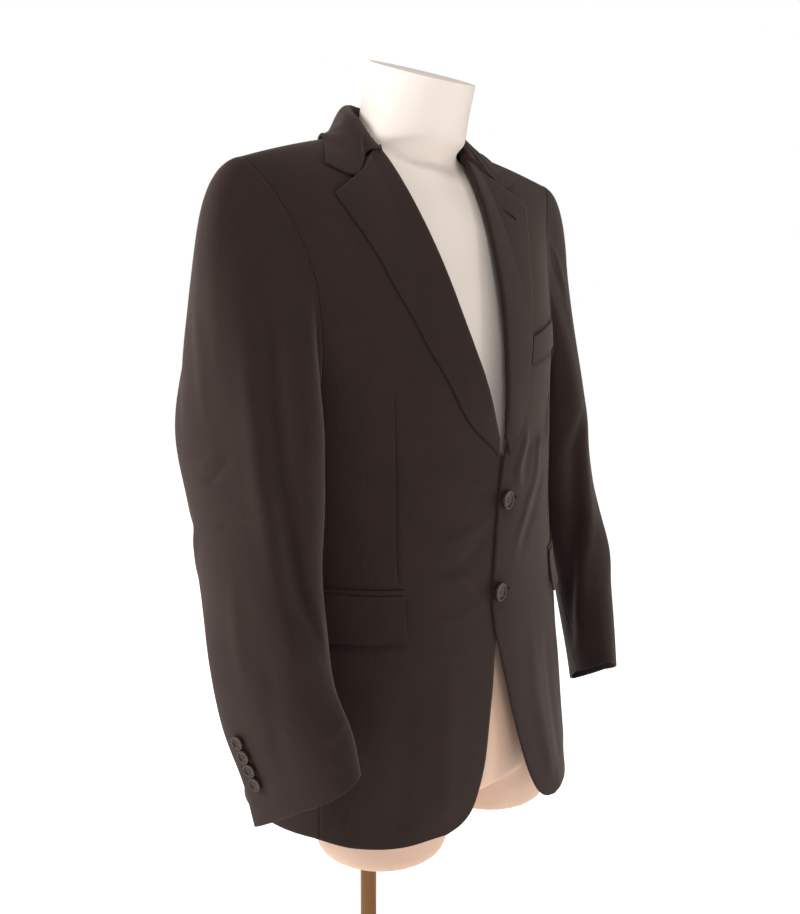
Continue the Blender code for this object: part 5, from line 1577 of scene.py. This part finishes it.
def make_buttons(horn, thread_look):
    """Two front buttons and four on each cuff, all sewn on."""
    front = model_button("front_button", FRONT_BUTTON_RADIUS, horn)
    cuff = model_button("cuff_button", CUFF_BUTTON_RADIUS, horn)
    front_threads = button_threads(FRONT_BUTTON_RADIUS)
    cuff_threads = button_threads(CUFF_BUTTON_RADIUS)
    for (x, up), word, turn in zip(FRONT_BUTTONS, ("upper", "lower"), FRONT_BUTTON_TURNS):
        spot = place(x, up, 1)
        foot = lift_from_body(spot, LAP_LIFT + CLOTH / 2 + FRONT_BUTTON_STANDOFF)
        normal = Matrix.Rotation(math.radians(BUTTON_TILT), 3, "Z") @ Vector(normal_at(spot))
        set_button(front, front_threads, "horn_front_" + word, "button_front_" + word,
                   foot, normal, turn, thread_look)
    step = ARM_ROWS // 8
    near, far = HIND_SEAM_COL + step, HIND_SEAM_COL + 2 * step
    for side, word in SIDES:
        grid, normals = sleeve_grid(side)
        line = blend(grid[::-1, near], grid[::-1, far], CUFF_BUTTON_SHARE)
        facing = unit(blend(normals[::-1, near], normals[::-1, far], CUFF_BUTTON_SHARE))
        length = lengths_along(line)[-1]
        for k, turn in enumerate(CUFF_BUTTON_TURNS):
            share = (CUFF_BUTTON_FIRST + k * CUFF_BUTTON_STEP) / length
            spot = resample(line, np.array([share]))[0]
            outward = facing[int(round(share * SLEEVE_ROWS))]
            foot = spot + outward * (CLOTH / 2 + CUFF_BUTTON_STANDOFF)
            which = "%s_%d" % (word, k + 1)
            set_button(cuff, cuff_threads, "horn_cuff_" + which, "button_cuff_" + which,
                       foot, outward, turn, thread_look)
    bpy.data.objects.remove(front)
    bpy.data.objects.remove(cuff)


# -------------------------------------------------------------- buttonholes
def buttonhole(name, ends, lift, width, thread_look):
    """Worked buttonhole on the left: a ring of tight stitches between (out, up) ends."""
    (a, b) = [np.array(end, float) for end in ends]
    along = unit(b - a)
    across = np.array([-along[1], along[0]])
    radius = width / 2
    lengthways = radius + np.linspace(0.0, 1.0, 60)[:, None] * (np.linalg.norm(b - a) - width)
    arc = np.linspace(math.pi / 2, -math.pi / 2, 10)[1:-1, None]
    outline = np.concatenate([
        a + along * lengthways + across * radius,
        b + (along * (np.cos(arc) - 1.0) + across * np.sin(arc)) * radius,
        a + along * lengthways[::-1] - across * radius,
        a - (along * (np.cos(arc) - 1.0) + across * np.sin(arc)) * radius])
    outline = resample(np.concatenate([outline, outline[:1]]), np.linspace(0, 1, 241))[:-1]
    spots = place(outline[:, 0], outline[:, 1], 1)
    path = lift_from_body(spots, lift + lap_lift(spots, 1))
    path[:, 2] += HEM_UP
    ring = thread_tube(path, STITCH_RADIUS, 0.22, STITCH_PITCH, closed=True)
    return mesh_piece(name, [ring], thread_look)


def make_buttonholes(thread_look):
    """One in the left lapel and two whose ends show beside the front buttons."""
    for word, ends, lift, width in BUTTONHOLES:
        piece = buttonhole("buttonhole_" + word, ends, lift, width, thread_look)
        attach(piece, "root")


# ------------------------------------------------------ dress form and stand
def form_ring(up):
    """One level of the torso, a rounded oval that leans by its slope."""
    half, front, back, power, slope = [float(column(FORM_COLUMNS, FORM_SECTIONS, key, up))
                                       for key in FORM_COLUMNS[1:]]
    middle = 0.5 * (front + back)
    deep = 0.5 * (back - front)
    angles = np.linspace(0.0, 2 * math.pi, FORM_RING_COLS, endpoint=False)
    cosine = np.cos(angles)
    sine = np.sin(angles)
    x = half * np.sign(cosine) * np.abs(cosine) ** (2.0 / power)
    y = middle + deep * np.sign(sine) * np.abs(sine) ** (2.0 / power)
    return np.stack([x, y, up + slope * (y - middle)], axis=1)


def inside_cloth(points, clear=FORM_CLEAR):
    """Draw ring points in towards the middle until they clear the cloth."""
    centre = np.array([0.0, MIDDLE_Y])
    arms = points[:, :2] - centre
    low = np.zeros(len(points))
    high = np.ones(len(points))
    up = points[:, 2]
    for _ in range(24):
        share = 0.5 * (low + high)
        spot = centre + arms * share[:, None]
        top, ridge_y = shoulder_line(spot[:, 0])
        half = body("half", up) - clear
        rise = np.clip((up - CHEST_UP) / (top - clear - CHEST_UP), 0.0, 1.0)
        middle = MIDDLE_Y + (ridge_y - MIDDLE_Y) * rise
        held = (np.abs(spot[:, 0]) < half) & (up < top - clear)
        for key, power_key, sign, fall in (("front", "power", -1.0, FRONT_ROUND),
                                           ("back", "back_power", 1.0, BACK_ROUND)):
            power = body(power_key, up)
            across = np.clip(np.abs(spot[:, 0]) / half, 0.0, 1.0)
            reach = body(key, up) * (1.0 - across ** power) ** (1.0 / power)
            reach = reach * (1.0 - rise ** 2) ** (fall / 2.0) - clear
            held &= sign * (spot[:, 1] - middle) < reach
        low = np.where(held, share, low)
        high = np.where(held, high, share)
    free = np.clip((up - FORM_FREE_FROM) / FORM_FREE_OVER, 0.0, 1.0)
    share = blend(low, 1.0, free)
    return np.column_stack([centre + arms * share[:, None], up])


def lofted(rings):
    """Vertices and faces of a closed stack of rings."""
    count = rings.shape[1]
    vertices = rings.reshape(-1, 3)
    faces = [tuple(range(count))]
    for i in range(len(rings) - 1):
        for k in range(count):
            after = (k + 1) % count
            faces.append((i * count + k, i * count + after,
                          (i + 1) * count + after, (i + 1) * count + k))
    last = (len(rings) - 1) * count
    faces.append(tuple(last + k for k in range(count)))
    return vertices, faces


def thigh_rings(side):
    """A thigh stub, fuller towards the hip, with a rounded lower edge."""
    rings = []
    angles = np.linspace(0.0, 2 * math.pi, 64, endpoint=False)
    for above, more in THIGH_PROFILE:
        radius = THIGH_RADIUS + more
        rings.append(np.stack([side * (THIGH_AT[0] + radius * np.cos(angles)),
                               THIGH_AT[1] + radius * np.sin(angles),
                               np.full(64, THIGH_DOWN + above + HEM_UP)], -1))
    return np.array(rings)


def make_form(paint):
    """Torso and thigh stubs blended into one smooth body."""
    levels = np.concatenate([np.linspace(FORM_FOOT, 0.62, 50), np.linspace(0.63, 0.71, 14),
                             np.linspace(0.716, 0.830, 27)])
    foot = form_ring(FORM_FOOT) * (0.80, 0.80, 1) - (0, 0, 0.012)
    rings = np.array([inside_cloth(ring) for ring in [foot] + [form_ring(up) for up in levels]])
    rings[..., 2] += HEM_UP
    parts = [lofted(rings), lofted(thigh_rings(1)), lofted(thigh_rings(-1))]
    form = mesh_piece("form_body", parts, paint)
    melt = form.modifiers.new("melt", "REMESH")
    melt.mode = "VOXEL"
    melt.voxel_size = FORM_VOXEL
    melt.use_smooth_shade = True
    relax = form.modifiers.new("relax", "SMOOTH")
    relax.factor = 0.5
    relax.iterations = 4
    pick(form)
    apply_all(form)
    up, _, front, back, _, slope = FORM_SECTIONS[-1]
    work = bmesh.new()
    work.from_mesh(form.data)
    cut = bmesh.ops.bisect_plane(work, geom=work.verts[:] + work.edges[:] + work.faces[:],
                                 plane_co=(0.0, 0.5 * (front + back), up + HEM_UP),
                                 plane_no=(0.0, -slope, 1.0), clear_outer=True)
    rim = [part for part in cut["geom_cut"] if isinstance(part, bmesh.types.BMEdge)]
    bmesh.ops.holes_fill(work, edges=rim)
    work.to_mesh(form.data)
    work.free()
    face_outwards(form.data)
    finish_surface(form, paint, 45)
    dress(form, "form_torso")


def make_stand(bronze):
    """Spun disc with a softened edge, a collar, and the tube that holds the form."""
    deselect_all()
    bpy.ops.mesh.primitive_cylinder_add(vertices=160, radius=BASE_RADIUS, depth=BASE_THICK,
                                        location=(0.0, 0.0, BASE_THICK / 2))
    base = bpy.context.object
    base.name = "stand_bronze"
    bpy.ops.object.transform_apply(location=True)
    bpy.ops.object.mode_set(mode="EDIT")
    pick_faces(base, lambda face: face.normal.z > 0.9)
    bpy.ops.mesh.inset(thickness=0.010)             # two rings on the top of the disc
    bpy.ops.mesh.inset(thickness=0.004)
    bpy.ops.mesh.select_all(action="DESELECT")
    bpy.ops.object.mode_set(mode="OBJECT")
    round_edges(base, 0.0028, 4)
    low = 0.004           # both start inside the disc
    for radius, high, soft in ((POLE_RADIUS, THIGH_DOWN + HEM_UP, 0.0),
                               (SOCKET_RADIUS, BASE_THICK + SOCKET_HIGH, 0.0016)):
        deselect_all()
        bpy.ops.mesh.primitive_cylinder_add(vertices=64, radius=radius, depth=high - low,
                                            location=(*POLE_AT, (low + high) / 2))
        rod = bpy.context.object
        bpy.ops.object.transform_apply(location=True)
        if soft:
            round_edges(rod, soft, 3)
        combine(base, rod, "UNION")
    finish_surface(base, bronze, 35)
    dress(base, "stand")


# ------------------------------------------------------- floor, light, camera
def make_floor():
    """A plain pale studio floor that glows, so it stays as light as the room."""
    deselect_all()
    bpy.ops.mesh.primitive_plane_add(size=40.0, location=(0.0, 0.0, -0.0002))
    floor = bpy.context.object
    floor.name = "studio_floor"
    material, tree, shader = finish_named("pale_floor", 0.9)
    where = add_node(tree, "ShaderNodeTexCoord")
    specks = add_node(tree, "ShaderNodeTexNoise", {"Scale": 3.0, "Detail": 2.0},
                      {"Vector": where.outputs["Object"]})
    tint = add_node(tree, "ShaderNodeMix", {"data_type": "RGBA", 6: shade("#f4f4f4"),
                                            7: shade("#fafafa")}, {0: specks.outputs[0]})
    tree.links.new(tint.outputs[2], shader.inputs["Base Color"])
    shader.inputs["Emission Color"].default_value = (1.0, 1.0, 1.0, 1.0)
    shader.inputs["Emission Strength"].default_value = FLOOR_GLOW
    floor.data.materials.append(material)


def soft_lamp(name, at, size, watts, tint):
    """A round soft box that faces the middle of the object."""
    lamp = bpy.data.lights.new(name, "AREA")
    lamp.color = tint
    lamp.shape = "DISK"
    lamp.size = size
    lamp.energy = watts
    thing = bpy.data.objects.new(name, lamp)
    thing.location = at
    aim = Vector(LAMPS_TOWARDS) - Vector(at)
    thing.rotation_euler = aim.to_track_quat("-Z", "Y").to_euler()
    link(thing)


def make_light():
    """A white room that is dimmer for the object than for the eye, and four soft boxes."""
    world = bpy.data.worlds.new("white_studio")
    bpy.context.scene.world = world
    world.use_nodes = True
    tree = world.node_tree
    tree.nodes.clear()
    seen = add_node(tree, "ShaderNodeBackground", {"Color": (1, 1, 1, 1), "Strength": 1.0})
    lit = add_node(tree, "ShaderNodeBackground", {"Color": (1, 0.985, 0.98, 1),
                                                  "Strength": WORLD_STRENGTH})
    path = add_node(tree, "ShaderNodeLightPath")
    both = add_node(tree, "ShaderNodeMixShader", links={0: path.outputs["Is Camera Ray"],
                                                        1: lit.outputs[0], 2: seen.outputs[0]})
    add_node(tree, "ShaderNodeOutputWorld", links={0: both.outputs[0]})
    for lamp in LAMPS:
        soft_lamp(*lamp)


def make_camera():
    """Level with the upper chest, in front and to the wearer's right, tipped down."""
    yaw, pitch, roll = map(math.radians, CAMERA_TURNS)
    look = Vector((math.sin(yaw) * math.cos(pitch), math.cos(yaw) * math.cos(pitch),
                   -math.sin(pitch)))
    right = Vector((math.cos(yaw), -math.sin(yaw), 0.0))
    up = right.cross(look)
    right, up = (math.cos(roll) * right + math.sin(roll) * up,
                 math.cos(roll) * up - math.sin(roll) * right)
    camera = bpy.data.cameras.new("camera")
    camera.lens = FOCAL_SHARE * SENSOR
    camera.sensor_width = SENSOR
    thing = bpy.data.objects.new("camera", camera)
    turn = Matrix((right, up, -look)).transposed().to_4x4()
    thing.matrix_world = Matrix.Translation(CAMERA_AT) @ turn
    link(thing)
    bpy.context.scene.camera = thing
    bpy.context.scene.view_settings.view_transform = "Standard"


# ---------------------------------------------------------------- put together
make_camera()
make_light()
make_floor()
wool = worsted_wool("worsted_wool")
horn = polished_horn("polished_horn")
thread_look = sewing_thread("buttonhole_thread", "#1b1513")
paint = sprayed_form("sprayed_form")
bronze = brushed_bronze("brushed_bronze")
folds = body_creases()
make_panels(wool, folds)
make_lapels(wool)
make_collar(wool)
make_sleeves(wool)
make_pockets(wool, folds)
make_buttons(horn, thread_look)
make_buttonholes(thread_look)
make_form(paint)
make_stand(bronze)
